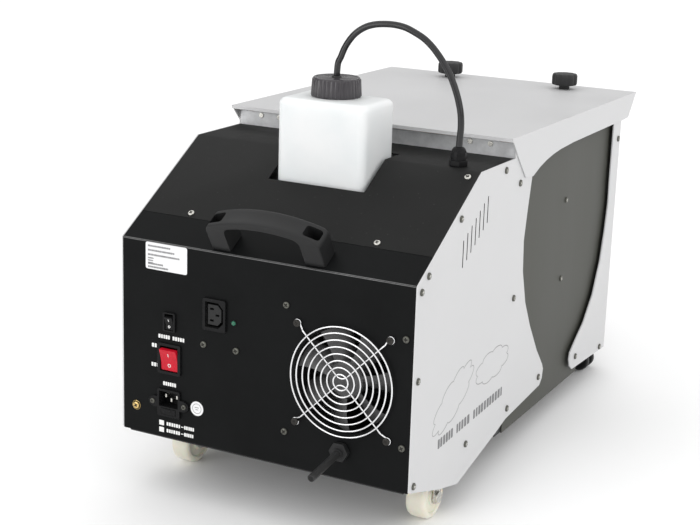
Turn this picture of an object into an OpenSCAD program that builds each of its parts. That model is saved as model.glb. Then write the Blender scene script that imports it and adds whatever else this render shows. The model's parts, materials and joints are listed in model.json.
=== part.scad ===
// Low-lying fog machine: an electronics bay with a drop-in fluid tank at the rear,
// an ice chamber under a hinged lid at the front, and four casters.
// Every part is drawn square to the body: x across, y from the rear panel to the
// front, z up from the rear panel's bottom edge. place() then tips the whole machine
// nose-down onto its unequal casters, with the floor at z = 0.

/* [Body] */
// Width over the side sheets
body_w = 348; // [330:1:366]
// Height of the upright rear panel
rear_h = 214.5; // [205:0.5:220]
// Height of the flat deck behind the lid
deck_z = 302.6; // [296:0.1:306]
// Where the slope meets the flat deck
deck_y = 143.5; // [140:0.5:150]
// Rear face of the upright wall between the bay and the ice chamber
wall_y = 232; // [230:0.5:234]
// Front face of the body
front_y = 580; // [575:1:590]
// Sheet metal thickness
sheet = 1.5; // [1:0.1:2]

/* [Lid] */
// Width over the lid's side flanges
lid_w = 351; // [349:0.5:353]
// Top of the lid
lid_z = 326.1; // [325:0.1:328]
// Rear edge of the lid
lid_rear_y = 217.8; // [216:0.1:219]
// Front edge of the lid
lid_front_y = 628.4; // [620:0.2:640]
// Diameter of the lid's two thumbscrew knobs
knob_d = 33; // [28:1:36]
// Distance of the left knob from the centre line
knob_left = 70; // [60:1:100]
// Distance of the right knob from the centre line
knob_right = 91; // [60:1:100]

/* [Tank] */
// Tank width
tank_w = 106; // [100:1:108]
// Tank depth from rear to front
tank_d = 72; // [68:1:74]
// Underside of the tank
tank_z0 = 170; // [168:1:200]
// Top of the tank's shoulder
tank_z1 = 363; // [350:1:370]
// Outside diameter of the filler cap
cap_d = 54; // [50:1:58]
// Height of the filler cap
cap_h = 20.5; // [18:0.5:24]
// Outside diameter of the fluid hose
hose_d = 7; // [6:0.5:8]

/* [Fan] */
// Size of the square fan frame
fan_size = 120; // [118:1:120]
// Distance between its mounting holes
fan_pitch = 105; // [104:0.5:105]
// Fan axis across the rear panel
fan_x = 95.5; // [90:0.5:98]
// Height of the fan axis
fan_z = 104; // [100:0.5:110]

/* [Handle] */
// Length of the strap handle
handle_l = 133; // [125:1:140]
// Height of its crown above the slope
handle_h = 44; // [40:1:48]
// Width of its grip
handle_w = 24.5; // [22:0.5:28]

/* [Casters] */
// Diameter of the rear wheels
rear_wheel_d = 50; // [46:1:54]
// Width of the rear wheels
rear_wheel_w = 23; // [20:1:24]
// Diameter of the front wheels
front_wheel_d = 26; // [24:1:26]
// How far the floor is below the body at the rear wheels
rear_drop = 65; // [63:1:68]
// How far the floor is below the body at the front wheels
front_drop = 34.5; // [34:0.5:38]

/* [Hidden] */
$fn = 48;
gap = 0.3;                      // between parts that only lie beside each other
run = 0.06;                     // radial clearance of a pin in its hole
half_w = body_w / 2;
in_x = half_w - sheet;          // inner faces of the side sheets
panel_x = in_x - gap;           // half width of the cross panels
recess_x = half_w - 6;          // outer faces of the recessed side panels
slope_a = atan2(deck_z - rear_h, deck_y);
slope_l = norm([deck_y, deck_z - rear_h]);
seam_s = 41;                    // up the slope, where the top cover starts

rear_wheel_y = 95;
front_caster_y = 570;
pitch = atan2(rear_drop - front_drop, front_caster_y - rear_wheel_y);
function floor_z(y) = -rear_drop + (y - rear_wheel_y) * tan(pitch);

spout_l = 62;                   // drain spout, from the rear panel
spout_droop = 8;
spout_r = 4;
spout_bore = 2.6;
spout = [96, 0, 30];

// the tipped position of a point (y, z) of the body
function tip_y(y, z) = y * cos(pitch) + z * sin(pitch);
function tip_z(y, z) = z * cos(pitch) - y * sin(pitch);
spout_end = [-spout_l * cos(spout_droop), spout[2] - spout_l * sin(spout_droop)];
rear_most = tip_y(spout_end[0], spout_end[1]) - spout_r * sin(spout_droop - pitch);
front_most = tip_y(lid_front_y, lid_z);
shift_y = -(rear_most + front_most) / 2;
shift_z = -tip_z(rear_wheel_y, -rear_drop);

hinge_y = wall_y - 1;
hinge_z = lid_z - 4.6;
hinge_x = [-132, 132];
tank_x = 5;
tank_y = 102;
cap_y = 146;
gland = [139, 160];
lid_under = lid_z - sheet;
rim_z = 318;                    // top of the chamber rim and of the recessed panels
knob_y = 592;

// ---------- helpers ----------
module place()
    translate([0, shift_y, shift_z]) rotate([-pitch, 0, 0]) children();

module box(x, y, z)
    translate([x[0], y[0], z[0]]) cube([x[1] - x[0], y[1] - y[0], z[1] - z[0]]);

// a (y, z) outline stretched across from x0 to x1
module yz(x0, x1)
    translate([x0, 0, 0]) rotate([90, 0, 90]) linear_extrude(x1 - x0) children();

// an (x, z) outline stretched from y0 forward to y1
module xz(y0, y1)
    translate([0, y1, 0]) rotate([90, 0, 0]) linear_extrude(y1 - y0) children();

module xcyl(r, x0, x1, y, z)
    translate([x0, y, z]) rotate([0, 90, 0]) cylinder(r = r, h = x1 - x0);
module ycyl(r, y0, y1, x, z)
    translate([x, y0, z]) rotate([-90, 0, 0]) cylinder(r = r, h = y1 - y0);
module zcyl(r, z0, z1, x, y)
    translate([x, y, z0]) cylinder(r = r, h = z1 - z0);

// a rectangle with round corners, centred
module rrect(w, d, r) {
    square([w - 2 * r, d], center = true);
    square([w, d - 2 * r], center = true);
    for (i = [-1, 1], j = [-1, 1])
        translate([i * (w / 2 - r), j * (d / 2 - r)]) circle(r);
}

module both_sides() for (m = [0, 1]) mirror([m, 0, 0]) children();

// local x across, y up the slope, z square out of it
module on_slope(x, s)
    translate([x, s * cos(slope_a), rear_h + s * sin(slope_a)])
        rotate([slope_a, 0, 0]) children();

// a pan-head screw along +z, its head seated at z = 0
module screw(head_r = 3.6, shank_r = 1.8, shank_l = 3) {
    difference() {
        cylinder(r = head_r, h = 1.8);
        for (a = [0, 90]) rotate(a) translate([-2, -0.4, 1]) cube([4, 0.8, 1]);
    }
    translate([0, 0, -shank_l]) cylinder(r = shank_r, h = shank_l);
}

// ---------- sheet metal ----------
slope_drop = [sheet * sin(slope_a), -sheet * cos(slope_a)];
// height of the slope's inner face at y
function under_slope(y) =
    rear_h + slope_drop[1] + (y - slope_drop[0]) * tan(slope_a);

rear_screw_at = [[-70, 113], [-30, 113], [29, 172.5], [164, 160], [29.5, 37], [164, 47]];
fan_holes = [for (i = [-1, 1], j = [-1, 1])
    [fan_x + i * fan_pitch / 2, fan_z + j * fan_pitch / 2]];

module rear_panel() place() color([0.07, 0.07, 0.075]) difference() {
    yz(-panel_x, panel_x) polygon([
        [0, 0], [0, rear_h],
        [seam_s * cos(slope_a), rear_h + seam_s * sin(slope_a)],
        [seam_s * cos(slope_a) + slope_drop[0],
         rear_h + seam_s * sin(slope_a) + slope_drop[1]],
        [sheet, under_slope(sheet)], [sheet, 0]]);
    ycyl(55, -1, 3, fan_x, fan_z);
    for (p = fan_holes) ycyl(2.3, -1, 3, p[0], p[1]);
    for (p = rear_screw_at) ycyl(2, -1, 3, p[0], p[1]);
    box([-126, -99.5], [-1, 3], [73.5, 104.5]);        // power switch
    box([-119, -106], [-1, 3], [120.8, 139.2]);        // drain switch
    box([-125.5, -100], [-1, 3], [25.5, 53]);          // power inlet
    box([-69, -43], [-1, 3], [131.5, 163.5]);          // accessory outlet
    for (x = [-132.75, -92.75]) ycyl(1.7, -1, 3, x, 39.25);
    ycyl(2.6, -1, 3, -33, 142.5);                      // status light
    ycyl(2.1, -1, 3, -155.6, 29);                      // earth screw
    ycyl(6.3, -1, 3, spout[0], spout[2]);              // drain spout
    for (x = [-handle_foot, handle_foot])
        on_slope(handle_x + x, handle_s) zcyl(2.3, -4, 1, 0, 0);
}

cover_screw_at = [-113.3, 108];
module top_cover() place() color([0.17, 0.17, 0.17]) difference() {
    s0 = seam_s + 0.6;
    yz(-panel_x, panel_x) polygon([
        [s0 * cos(slope_a), rear_h + s0 * sin(slope_a)],
        [deck_y, deck_z], [wall_y - gap, deck_z], [wall_y - gap, deck_z - sheet],
        [deck_y + 0.4, deck_z - sheet],
        [s0 * cos(slope_a) + slope_drop[0], rear_h + s0 * sin(slope_a) + slope_drop[1]]]);
    box([-54, 62], [tank_y - 3.5, tank_y + tank_d + 5], [200, 400]);
    zcyl(6.3, 290, 310, gland[0], gland[1]);
    for (x = cover_screw_at) on_slope(x, 48) zcyl(2, -3, 2, 0, 0);
    on_slope(161.6, 158) zcyl(2, -3, 2, 0, 0);
}

side_outline = [
    [0, 1], [0, rear_h], [deck_y, deck_z], [wall_y, deck_z], [wall_y, 320.4],
    [front_y + 1, 320.4], [front_y + 1, 297], [578, -3], [460, 0], [451, 6],
    [447, 15], [449, 24], [467, 37], [491, 52], [519, 82], [539, 123], [548, 159],
    [554, 194], [553, 224], [554, 302], [289, 302], [284, 275], [276, 237], [270, 204],
    [273, 168], [286, 129], [305, 97], [332, 60], [353, 37], [357, 30], [355, 19],
    [348, 12], [247, 2], [219, -6], [119, -31], [74, -21]];
side_screw_at = [
    [23.5, 220], [9, 207], [9, 116], [9, 5.5], [95, 263], [207, 294], [249, 273],
    [249, 143], [342, 24], [248, 14], [135, 9], [468, 14.5], [559, 2.4], [573, 273.5]];
inner_screw_at = [[414, 223], [413, 127]];

module side_panel() difference() {
    yz(in_x, half_w) polygon(side_outline);
    for (k = [0 : 6]) translate([0, 104 + 9.75 * k, 210 + 5.9 * k])
        yz(in_x - 1, half_w + 1) {
            translate([-1, 1]) square([2, 27]);
            for (z = [1, 28]) translate([0, z]) circle(1);
        }
    for (p = side_screw_at) xcyl(2, in_x - 1, half_w + 1, p[0], p[1]);
}
module side_panel_left() place() color([0.82, 0.82, 0.81]) mirror([1, 0, 0]) side_panel();
module side_panel_right() place() color([0.82, 0.82, 0.81]) side_panel();

module inner_panel() difference() {
    yz(recess_x - sheet, recess_x) polygon([
        [252, -18.4], [489, -12.2], [493, -3.5], [578.2, -3.5], [578.2, rim_z],
        [wall_y + 2, rim_z], [wall_y + 2, -4], [252, -4]]);
    for (p = inner_screw_at) xcyl(2, recess_x - 3, recess_x + 1, p[0], p[1]);
}
module inner_panel_left() place() color([0.38, 0.385, 0.36]) mirror([1, 0, 0]) inner_panel();
module inner_panel_right() place() color([0.38, 0.385, 0.36]) inner_panel();

pan_x = recess_x - sheet - gap;
module base_pan() place() color([0.1, 0.1, 0.1]) {
    box([-pan_x, pan_x], [3, front_y + 12], [-3, -1.5]);
    both_sides() {
        box([pan_x - sheet, pan_x], [3, wall_y - 1], [-1.6, 12]);
        box([pan_x - 20, pan_x], [wall_y + 3, wall_y + 36], [-18.2, -2.9]);
    }
}

duct = [116, 12, 82];           // half width, bottom and top of the fog outlet duct
module front_panel() place() color([0.82, 0.82, 0.81]) difference() {
    union() {
        box([-panel_x, panel_x], [front_y - 1.5, front_y], [-1.2, rim_z + 0.5]);
        box([-panel_x, panel_x], [front_y - 1.5, front_y + 20], [rim_z - 1, rim_z + 0.5]);
    }
    box([-duct[0] - gap, duct[0] + gap], [front_y - 3, front_y + 3],
        [duct[1] - gap, duct[2] + gap]);
    for (x = [-knob_left, knob_right]) zcyl(4, 300, 330, x, knob_y);
}

module outlet_duct() place() color([0.12, 0.12, 0.12]) {
    difference() {
        box([-duct[0], duct[0]], [front_y - 14, front_y + 11], [duct[1], duct[2]]);
        box([-duct[0] + sheet, duct[0] - sheet], [front_y - 20, front_y + 30],
            [duct[1] + sheet, duct[2] - sheet]);
    }
    difference() {
        box([-duct[0] - 12, duct[0] + 12], [front_y + gap, front_y + 2],
            [duct[1] - 10, duct[2] + 12]);
        box([-duct[0] + 1, duct[0] - 1], [front_y - 20, front_y + 30],
            [duct[1] + 1, duct[2] - 1]);
    }
    for (x = [-87 : 29 : 87])
        box([x - 1, x + 1], [front_y - 2, front_y + 10], [duct[1] + 1, duct[2] - 1]);
}

rivet_x = [-144, -120, 120, 144];
rivet_z = 315.4;
module bulkhead() place() color([0.72, 0.73, 0.74]) difference() {
    box([-panel_x, panel_x], [wall_y, wall_y + 1.4], [-1.3, rim_z + 0.8]);
    for (x = rivet_x) ycyl(1.6, wall_y - 1, wall_y + 3, x, rivet_z);
    ycyl(7, wall_y - 1, wall_y + 3, 0, 58);
}
module hinge_rivets() place() color([0.6, 0.6, 0.62]) for (x = rivet_x) {
    ycyl(3, wall_y - 1.3, wall_y - 0.05, x, rivet_z);
    ycyl(1.5, wall_y - 0.06, wall_y + 3.4, x, rivet_z);
}
module hinge_fixed_leaves() place() color([0.72, 0.73, 0.74]) for (x = hinge_x) {
    difference() {
        union() {
            box([x - 20, x + 20], [wall_y + 1.6, wall_y + 2.8], [298, hinge_z]);
            for (k = [-20, 8]) {
                xcyl(2.4, x + k, x + k + 12, hinge_y, hinge_z);
                box([x + k, x + k + 12], [hinge_y + 1, wall_y + 2.8],
                    [hinge_z - 1.6, hinge_z]);
            }
        }
        for (k = [-12, 12]) ycyl(1.6, wall_y + 1, wall_y + 4, x + k, rivet_z);
        box([x - 7.7, x + 7.7], [wall_y - 5, wall_y + 4], [hinge_z - 2.9, hinge_z + 4]);
    }
    xcyl(1, x - 12, x + 12, hinge_y, hinge_z);
}
module hinge_moving_leaves() place() color([0.72, 0.73, 0.74]) for (x = hinge_x)
    difference() {
        union() {
            xcyl(2.4, x - 7.4, x + 7.4, hinge_y, hinge_z);
            box([x - 7.4, x + 7.4], [hinge_y - 0.5, wall_y + 24],
                [hinge_z + 1.9, lid_under]);
            box([x - 19, x + 19], [wall_y + 4, wall_y + 24], [hinge_z + 1.9, lid_under]);
        }
        xcyl(1 + run, x - 9, x + 9, hinge_y, hinge_z);
    }

// ---------- ice chamber ----------
liner_x = 156;
liner_y = [246, 566];
liner_z = 12;
module chamber_liner() place() color([0.74, 0.75, 0.76]) difference() {
    union() {
        box([-liner_x, liner_x], liner_y, [liner_z, rim_z]);
        box([-pan_x, pan_x], [wall_y + 4, front_y - 2], [rim_z - sheet, rim_z]);
    }
    box([-liner_x + sheet, liner_x - sheet], [liner_y[0] + sheet, liner_y[1] - sheet],
        [liner_z + sheet, rim_z + 5]);
    box([-duct[0] + 3, duct[0] - 3], [liner_y[1] - 5, liner_y[1] + 1], [16, 78]);
    ycyl(7, liner_y[0] - 1, liner_y[0] + 3, 0, 58);
}
module chamber_insulation() place() color([0.9, 0.88, 0.8]) {
    both_sides() box([liner_x + gap, pan_x - gap], [wall_y + 5, front_y - 2.5],
                     [-1.2, rim_z - 2]);
    box([-liner_x, liner_x], [liner_y[0], liner_y[1]], [-1.2, liner_z - gap]);
    difference() {
        box([-liner_x, liner_x], [wall_y + 5, liner_y[0] - gap], [-1.2, rim_z - 2]);
        ycyl(7, wall_y, liner_y[0] + 1, 0, 58);
    }
    box([-liner_x, liner_x], [liner_y[1] + gap, front_y - 2.5],
        [duct[2] + 2, rim_z - 2]);
}
// a drop-in tray with slotted floor and sides, open at the top
module ice_basket() place() color([0.8, 0.81, 0.82]) {
    x = 148; y = [254, 558]; z = [84, 300];
    difference() {
        box([-x, x], y, z);
        box([-x + 1.2, x - 1.2], [y[0] + 1.2, y[1] - 1.2], [z[0] + 1.2, z[1] + 9]);
        for (i = [-6 : 6], j = [0 : 4])
            box([i * 21 - 8, i * 21 + 8], [y[0] + 14 + j * 56, y[0] + 64 + j * 56],
                [z[0] - 1, z[0] + 3]);
    }
    for (i = [-1, 1])
        box([i * 115.5 - 2, i * 115.5 + 2], [y[0] + 2, y[1] - 2], [liner_z + sheet, z[0] + 0.5]);
}
module lid_seal() place() color([0.72, 0.36, 0.12]) difference() {
    box([-pan_x + 1, pan_x - 1], [wall_y + 4.5, front_y - 5],
        [rim_z, lid_under - gap]);
    box([-liner_x + 1, liner_x - 1], [wall_y + 14, front_y - 16], [rim_z - 1, 330]);
    for (x = hinge_x) box([x - 21, x + 21], [wall_y, wall_y + 26], [rim_z - 1, 330]);
}

// ---------- fluid system ----------
module tank_cradle() place() color([0.09, 0.09, 0.09]) difference() {
    x = [tank_x - tank_w / 2, tank_x + tank_w / 2];
    box([x[0] - 3, x[1] + 3], [tank_y - 3, tank_y + tank_d + 3], [tank_z0 - 2, 270]);
    box([x[0] - 1.5, x[1] + 1.5], [tank_y - 1.5, tank_y + tank_d + 1.5],
        [tank_z0 - gap, 280]);
}
module fluid_tank() place() color([0.93, 0.95, 0.96]) difference() {
    union() {
        translate([tank_x, tank_y + tank_d / 2, tank_z0])
            linear_extrude(tank_z1 - tank_z0) rrect(tank_w, tank_d, 9);
        zcyl(23, tank_z1 - 1, tank_z1 + 15, 0, cap_y);
    }
    translate([tank_x, tank_y + tank_d / 2, tank_z0 + 2.5])
        linear_extrude(tank_z1 - tank_z0 - 5) rrect(tank_w - 5, tank_d - 5, 6.5);
    zcyl(20.5, tank_z1 - 10, tank_z1 + 20, 0, cap_y);
}
module tank_cap() place() color([0.05, 0.05, 0.05]) difference() {
    z0 = tank_z1 + gap;
    union() {
        zcyl(cap_d / 2 - 0.8, z0, z0 + cap_h, 0, cap_y);
        for (a = [0 : 10 : 350]) translate([0, cap_y, z0]) rotate(a)
            translate([cap_d / 2 - 1.8, -1.2, 0]) cube([1.8, 2.4, cap_h - 1]);
    }
    zcyl(23 + run, z0 - 1, tank_z1 + 16, 0, cap_y);
    zcyl(hose_d / 2 + 0.6, z0, z0 + cap_h + 1, 0, cap_y);
}
cap_top = tank_z1 + gap + cap_h;
module pickup_tube() place() color([0.1, 0.1, 0.1]) {
    zcyl(hose_d / 2, tank_z0 + 20, cap_top + 1, 0, cap_y);
    zcyl(7, tank_z0 + 3, tank_z0 + 20.01, 0, cap_y);
}

module hose_gland() place() color([0.06, 0.06, 0.06]) difference() {
    union() {
        translate([gland[0], gland[1], deck_z]) cylinder(r = 10.5, h = 6.5, $fn = 6);
        zcyl(8.6, deck_z + 6.4, deck_z + 16, gland[0], gland[1]);
        zcyl(6.5, deck_z + 15.9, deck_z + 20, gland[0], gland[1]);
        zcyl(6, deck_z - 8, deck_z + 1, gland[0], gland[1]);
    }
    zcyl(hose_d / 2 + run, deck_z - 9, deck_z + 21, gland[0], gland[1]);
}

// the hose's route: out of the cap, over a high arch and down into the gland
hose_route = [
    [0, 146, cap_top + 1.3], [1, 146, 398], [4, 146.4, 405], [8, 147, 415],
    [14, 147.5, 424.5], [21, 148, 432], [30, 149, 438], [40, 150, 441.5],
    [51, 151, 443], [63, 152.5, 443], [75, 153.5, 441], [86, 154.5, 436.5],
    [96, 155.6, 431], [105, 156.5, 423.5], [113, 157.3, 414.5], [120, 158, 405],
    [126, 158.7, 395], [131.5, 159.2, 383], [136, 159.6, 370], [139, 159.9, 357],
    [140, 160, 344], [139.5, 160, 333], [gland[0], gland[1], deck_z + 20.2]];
function unit(v) = v / norm(v);
function along(p, i) = unit(p[min(i + 1, len(p) - 1)] - p[max(i - 1, 0)]);
// rings of points square to the route
function ring(p, i, r, n) =
    let (t = along(p, i), a = unit(cross([0.1, -1, 0], t)), b = cross(t, a))
    [for (k = [0 : n - 1]) p[i] + r * (cos(360 * k / n) * a + sin(360 * k / n) * b)];
module tube(p, r, n) {
    m = len(p);
    polyhedron(
        points = [for (i = [0 : m - 1]) each ring(p, i, r, n)],
        faces = concat(
            [[for (k = [0 : n - 1]) k]],
            [for (i = [0 : m - 2], k = [0 : n - 1])
                [i * n + k, (i + 1) * n + k, (i + 1) * n + (k + 1) % n,
                 i * n + (k + 1) % n]],
            [[for (k = [0 : n - 1]) (m - 1) * n + n - 1 - k]]));
}
module fluid_hose() place() color([0.05, 0.05, 0.05]) tube(hose_route, hose_d / 2, 10);

module heater_block() place() color([0.6, 0.6, 0.6]) {
    box([-50, 50], [70, 150], [24, 78]);
    for (x = [-40, 40], y = [80, 140]) zcyl(4, -1.5, 24.1, x, y);
}
module heater_cover() place() color([0.75, 0.75, 0.76]) difference() {
    box([-58, 58], [62, 158], [-1.5, 92]);
    box([-56.5, 56.5], [63.5, 156.5], [-3, 90.5]);
    ycyl(8, 150, 160, 0, 58);
}
module fog_pipe() place() color([0.7, 0.55, 0.3]) difference() {
    ycyl(6, 150.1, liner_y[0] + 14, 0, 58);
    ycyl(4.5, 152, liner_y[0] + 15, 0, 58);
}
module fluid_pump() place() color([0.25, 0.25, 0.27]) {
    ycyl(20, 110, 165, -115, 30);
    ycyl(13, 95, 110.1, -115, 30);
    ycyl(5, 164.9, 190, -115, 30);
    box([-133, -97], [120, 155], [-1.5, 14]);
}
module drain_pump() place() color([0.2, 0.2, 0.22]) {
    zcyl(22, -1.5, 50, 100, 175);
    zcyl(16, 49.9, 78, 100, 175);
    ycyl(4, 12.02, 154, 96, spout[2]);
}
module drain_spout() place() color([0.06, 0.06, 0.06]) difference() {
    union() {
        translate([spout[0], -7, spout[2]]) rotate([-90, 0, 0])
            cylinder(r = 11, h = 7, $fn = 6);
        ycyl(6, -0.5, 12, spout[0], spout[2]);
        translate(spout) rotate([90 + spout_droop, 0, 0]) {
            cylinder(r = spout_r, h = spout_l);
            cylinder(r = 5.6, h = 9);
        }
    }
    translate(spout) rotate([90 + spout_droop, 0, 0])
        translate([0, 0, -16]) cylinder(r = spout_bore, h = spout_l + 20);
}
module control_board() place() color([0.1, 0.35, 0.2]) {
    box([-160, -158.4], [70, 210], [90, 215]);
    box([-158.5, -130], [90, 120], [100, 130]);
    box([-158.5, -140], [140, 190], [110, 150]);
    for (y = [85, 105, 125]) xcyl(7, -158.5, -138, y, 180);
    for (y = [80, 200], z = [100, 205]) xcyl(2.5, -163.1, -159.9, y, z);
    box([-164.4, -163], [76, 204], [-1.5, 210]);
}

// ---------- fan ----------
module fan_frame() place() color([0.08, 0.08, 0.08]) translate([fan_x, 0, fan_z]) {
    difference() {
        xz(1.8, 26.8) rrect(fan_size, fan_size, 6);
        ycyl(57, 0, 30, 0, 0);
        for (i = [-1, 1], j = [-1, 1])
            ycyl(2.3, 0, 30, i * fan_pitch / 2, j * fan_pitch / 2);
    }
    ycyl(20, 22.5, 26.8, 0, 0);
    for (a = [45 : 90 : 315]) rotate([0, a, 0]) box([19, 57.5], [23.5, 26.5], [-2.5, 2.5]);
    ycyl(2, 8, 23, 0, 0);
}
module fan_rotor() place() color([0.1, 0.1, 0.1]) translate([fan_x, 0, fan_z]) {
    difference() {
        union() {
            ycyl(20, 5, 21.5, 0, 0);
            for (k = [0 : 6]) rotate([0, k * 360 / 7, 0]) translate([19, 13, 0])
                rotate([35, 0, 0]) translate([0, -1, -13]) cube([35, 2, 26]);
        }
        ycyl(2 + run, 6.5, 24, 0, 0);
    }
}
guard_r = [8.4, 15.5, 22.6, 29.7, 36.8, 43.9, 51, 58];
module fan_guard() place() color([0.8, 0.8, 0.82]) translate([fan_x, 0, fan_z]) {
    for (r = guard_r) translate([0, -4.3, 0]) rotate([90, 0, 0])
        rotate_extrude() translate([r, 0]) circle(0.9, $fn = 16);
    for (a = [45 : 90 : 315], s = [-3, 3]) rotate([0, a, 0])
        xcyl(0.9, 10, fan_pitch / 2 * sqrt(2) - 4.5, -2.4, s);
    for (i = [-1, 1], j = [-1, 1])
        translate([i * fan_pitch / 2, -1.4, j * fan_pitch / 2]) rotate([90, 0, 0])
            rotate_extrude() translate([3.4, 0]) circle(0.9, $fn = 16);
}
module fan_screws() place() color([0.75, 0.75, 0.75]) for (p = fan_holes)
    translate([p[0], -2.6, p[1]]) rotate([90, 0, 0]) screw(4, 1.9, 12);

// ---------- rear fittings ----------
handle_x = 4;
handle_s = 16.2;
handle_foot = handle_l / 2 - 11;     // from the middle to each screw
function turn_to(r, a0, a1, n) = [for (k = [0 : n]) let (a = a0 + (a1 - a0) * k / n)
    [r * cos(a), r * sin(a)]];
// an upright-sided outline with a crowned top: half width, top, crown radius, corner radius
function bow(half, top, crown, corner) =
    let (cx = half - corner, cy = sqrt(pow(crown - corner, 2) - cx * cx),
         t = atan2(cy, cx), base = top - crown)
    concat(
        [for (p = turn_to(corner, 0, t, 6)) [cx + p[0], base + cy + p[1]]],
        [for (p = turn_to(crown, t, 180 - t, 14)) [p[0], base + p[1]]],
        [for (p = turn_to(corner, 180 - t, 180, 6)) [p[0] - cx, base + cy + p[1]]]);
module carry_handle() place() color([0.07, 0.07, 0.07])
    on_slope(handle_x, handle_s) difference() {
        a = handle_l / 2;
        translate([0, handle_w / 2, 0]) rotate([90, 0, 0]) linear_extrude(handle_w)
            difference() {
                polygon(concat([[-a, gap], [a, gap]], bow(a, handle_h, 170, 9)));
                polygon(concat([[22.5 - a, -1], [a - 22.5, -1]],
                    bow(a - 22.5, handle_h - 7, 160, 9)));
            }
        for (x = [-handle_foot, handle_foot]) {
            translate([x, 0, 9]) linear_extrude(40) rrect(17, 14, 3);
            zcyl(2.4, -1, 12, x, 0);
        }
    }
module handle_screws() place() color([0.7, 0.7, 0.7])
    for (x = [-handle_foot, handle_foot])
        on_slope(handle_x + x, handle_s) translate([0, 0, 9]) screw(4, 2, 15);

inlet = [-112.75, 39.25];
module power_inlet() place() color([0.05, 0.05, 0.05]) translate([inlet[0], 0, inlet[1]]) {
    // the three contact blades
    for (p = [[-7, 6.3], [7, 6.3], [0, 2.3]])
        box([p[0] - 1, p[0] + 1], [3.5, 12.1], [p[1] - 2, p[1] + 2]);
    difference() {
        union() {
            xz(-2.6, -0.02) {
                rrect(28.5, 30.5, 2);
                square([40, 12], center = true);
                for (x = [-20, 20]) translate([x, 0]) circle(5.2);
            }
            box([-12.5, 12.5], [-0.05, 24], [-13.5, 13.5]);
        }
        box([-12, 12], [-3, 12], [-4.2, 12.8]);
        for (x = [-20, 20]) ycyl(1.8, -4, 1, x, 0);
        box([-9.3, 9.3], [-3, 18], [-13, -5.8]);
    }
}
module fuse_drawer() place() color([0.07, 0.07, 0.07]) translate([inlet[0], 0, inlet[1]]) {
    box([-9, 9], [-3, 16], [-12.7, -6.1]);
    box([-4, 4], [-3.8, -2.9], [-8.4, -6.6]);
}
outlet = [-56, 147.5];
module accessory_outlet() place() color([0.05, 0.05, 0.05])
    translate([outlet[0], 0, outlet[1]]) {
        difference() {
            union() {
                xz(-3, -0.02) rrect(28, 34.5, 2);
                box([-12.7, 12.7], [-0.05, 22], [-15.7, 15.7]);
            }
            box([-11.2, 11.2], [-4, 15], [-14.2, 14.2]);
        }
        difference() {
            box([-8, 8], [-1.5, 15.1], [-11.2, 11.2]);
            for (p = [[-2.5, 6], [-2.5, -6], [3.5, 0]])
                box([p[0] - 2, p[0] + 2], [-2, 10], [p[1] - 1, p[1] + 1]);
        }
    }

// a rocker switch: w and h over its bezel
module switch_body(w, h, rocker_w, rocker_h) difference() {
    union() {
        xz(-2.4, -0.02) rrect(w, h, 1.5);
        box([-w / 2 + 1.6, w / 2 - 1.6], [-0.05, 20], [-h / 2 + 1.6, h / 2 - 1.6]);
    }
    box([-rocker_w / 2 - gap, rocker_w / 2 + gap], [-3, 12],
        [-rocker_h / 2 - 1.4, rocker_h / 2 + 1.4]);
    xcyl(1.2 + run, -rocker_w / 2 - 4, rocker_w / 2 + 4, rocker_pivot, 0);
}
rocker_tilt = 12;
rocker_pivot = 4;
// its rocker, tipped to the off side about the pivot rocker_pivot behind the panel
module rocker(w, h) translate([0, rocker_pivot, 0]) rotate([rocker_tilt, 0, 0]) {
    xcyl(1.2, -w / 2 - 0.9, w / 2 + 0.9, 0, 0);
    yz(-w / 2, w / 2) polygon([
        [3, -3], [-4.6, -h / 2], [-7.2, -h / 2 + 0.3], [-6, -h / 6], [-6, h / 6],
        [-7.2, h / 2 - 0.3], [-4.6, h / 2], [3, 3]]);
}
power_at = [-112.5, 89];
drain_at = [-112.4, 130];
module power_switch() place() color([0.06, 0.06, 0.06])
    translate([power_at[0], 0, power_at[1]]) switch_body(29, 34, 21.4, 25);
module power_rocker() place() color([0.75, 0.04, 0.04])
    translate([power_at[0], 0, power_at[1]]) rocker(21.4, 25);
module drain_switch() place() color([0.06, 0.06, 0.06])
    translate([drain_at[0], 0, drain_at[1]]) switch_body(15.2, 21, 10, 15);
module drain_rocker() place() color([0.05, 0.05, 0.05])
    translate([drain_at[0], 0, drain_at[1]]) rocker(10, 15);

module status_led() place() color([0.2, 0.75, 0.45]) {
    ycyl(2.4, -2, 9, -33, 142.5);
    ycyl(3.4, -0.9, -0.02, -33, 142.5);
}
module ground_screw() place() color([0.72, 0.55, 0.25])
    translate([-155.6, -0.02, 29]) rotate([90, 0, 0]) screw(4, 2, 8);
module panel_labels() place() color([0.85, 0.85, 0.85]) {
    box([-143, -91], [-0.3, -0.02], [183.5, 212.5]);
    ycyl(8, -0.3, -0.02, -77.8, 40);
}

module rear_screws() place() color([0.7, 0.7, 0.7]) {
    for (p = rear_screw_at)
        translate([p[0], -0.02, p[1]]) rotate([90, 0, 0]) screw(shank_l = 5);
    for (x = [inlet[0] - 20, inlet[0] + 20])
        translate([x, -2.62, inlet[1]]) rotate([90, 0, 0]) screw(2.8, 1.5, 8);
}
module side_screws() place() color([0.7, 0.7, 0.7]) both_sides() {
    for (p = side_screw_at) translate([half_w + 0.02, p[0], p[1]])
        rotate([0, 90, 0]) screw(3.6, 1.8, 3);
    for (p = inner_screw_at) translate([recess_x + 0.02, p[0], p[1]])
        rotate([0, 90, 0]) screw(3.4, 1.8, 1.4);
}
module cover_screws() place() color([0.6, 0.6, 0.6]) {
    for (x = cover_screw_at) on_slope(x, 48) translate([0, 0, 0.02]) screw(shank_l = 4);
    on_slope(161.6, 158) translate([0, 0, 0.02]) screw(shank_l = 4);
}

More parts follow.
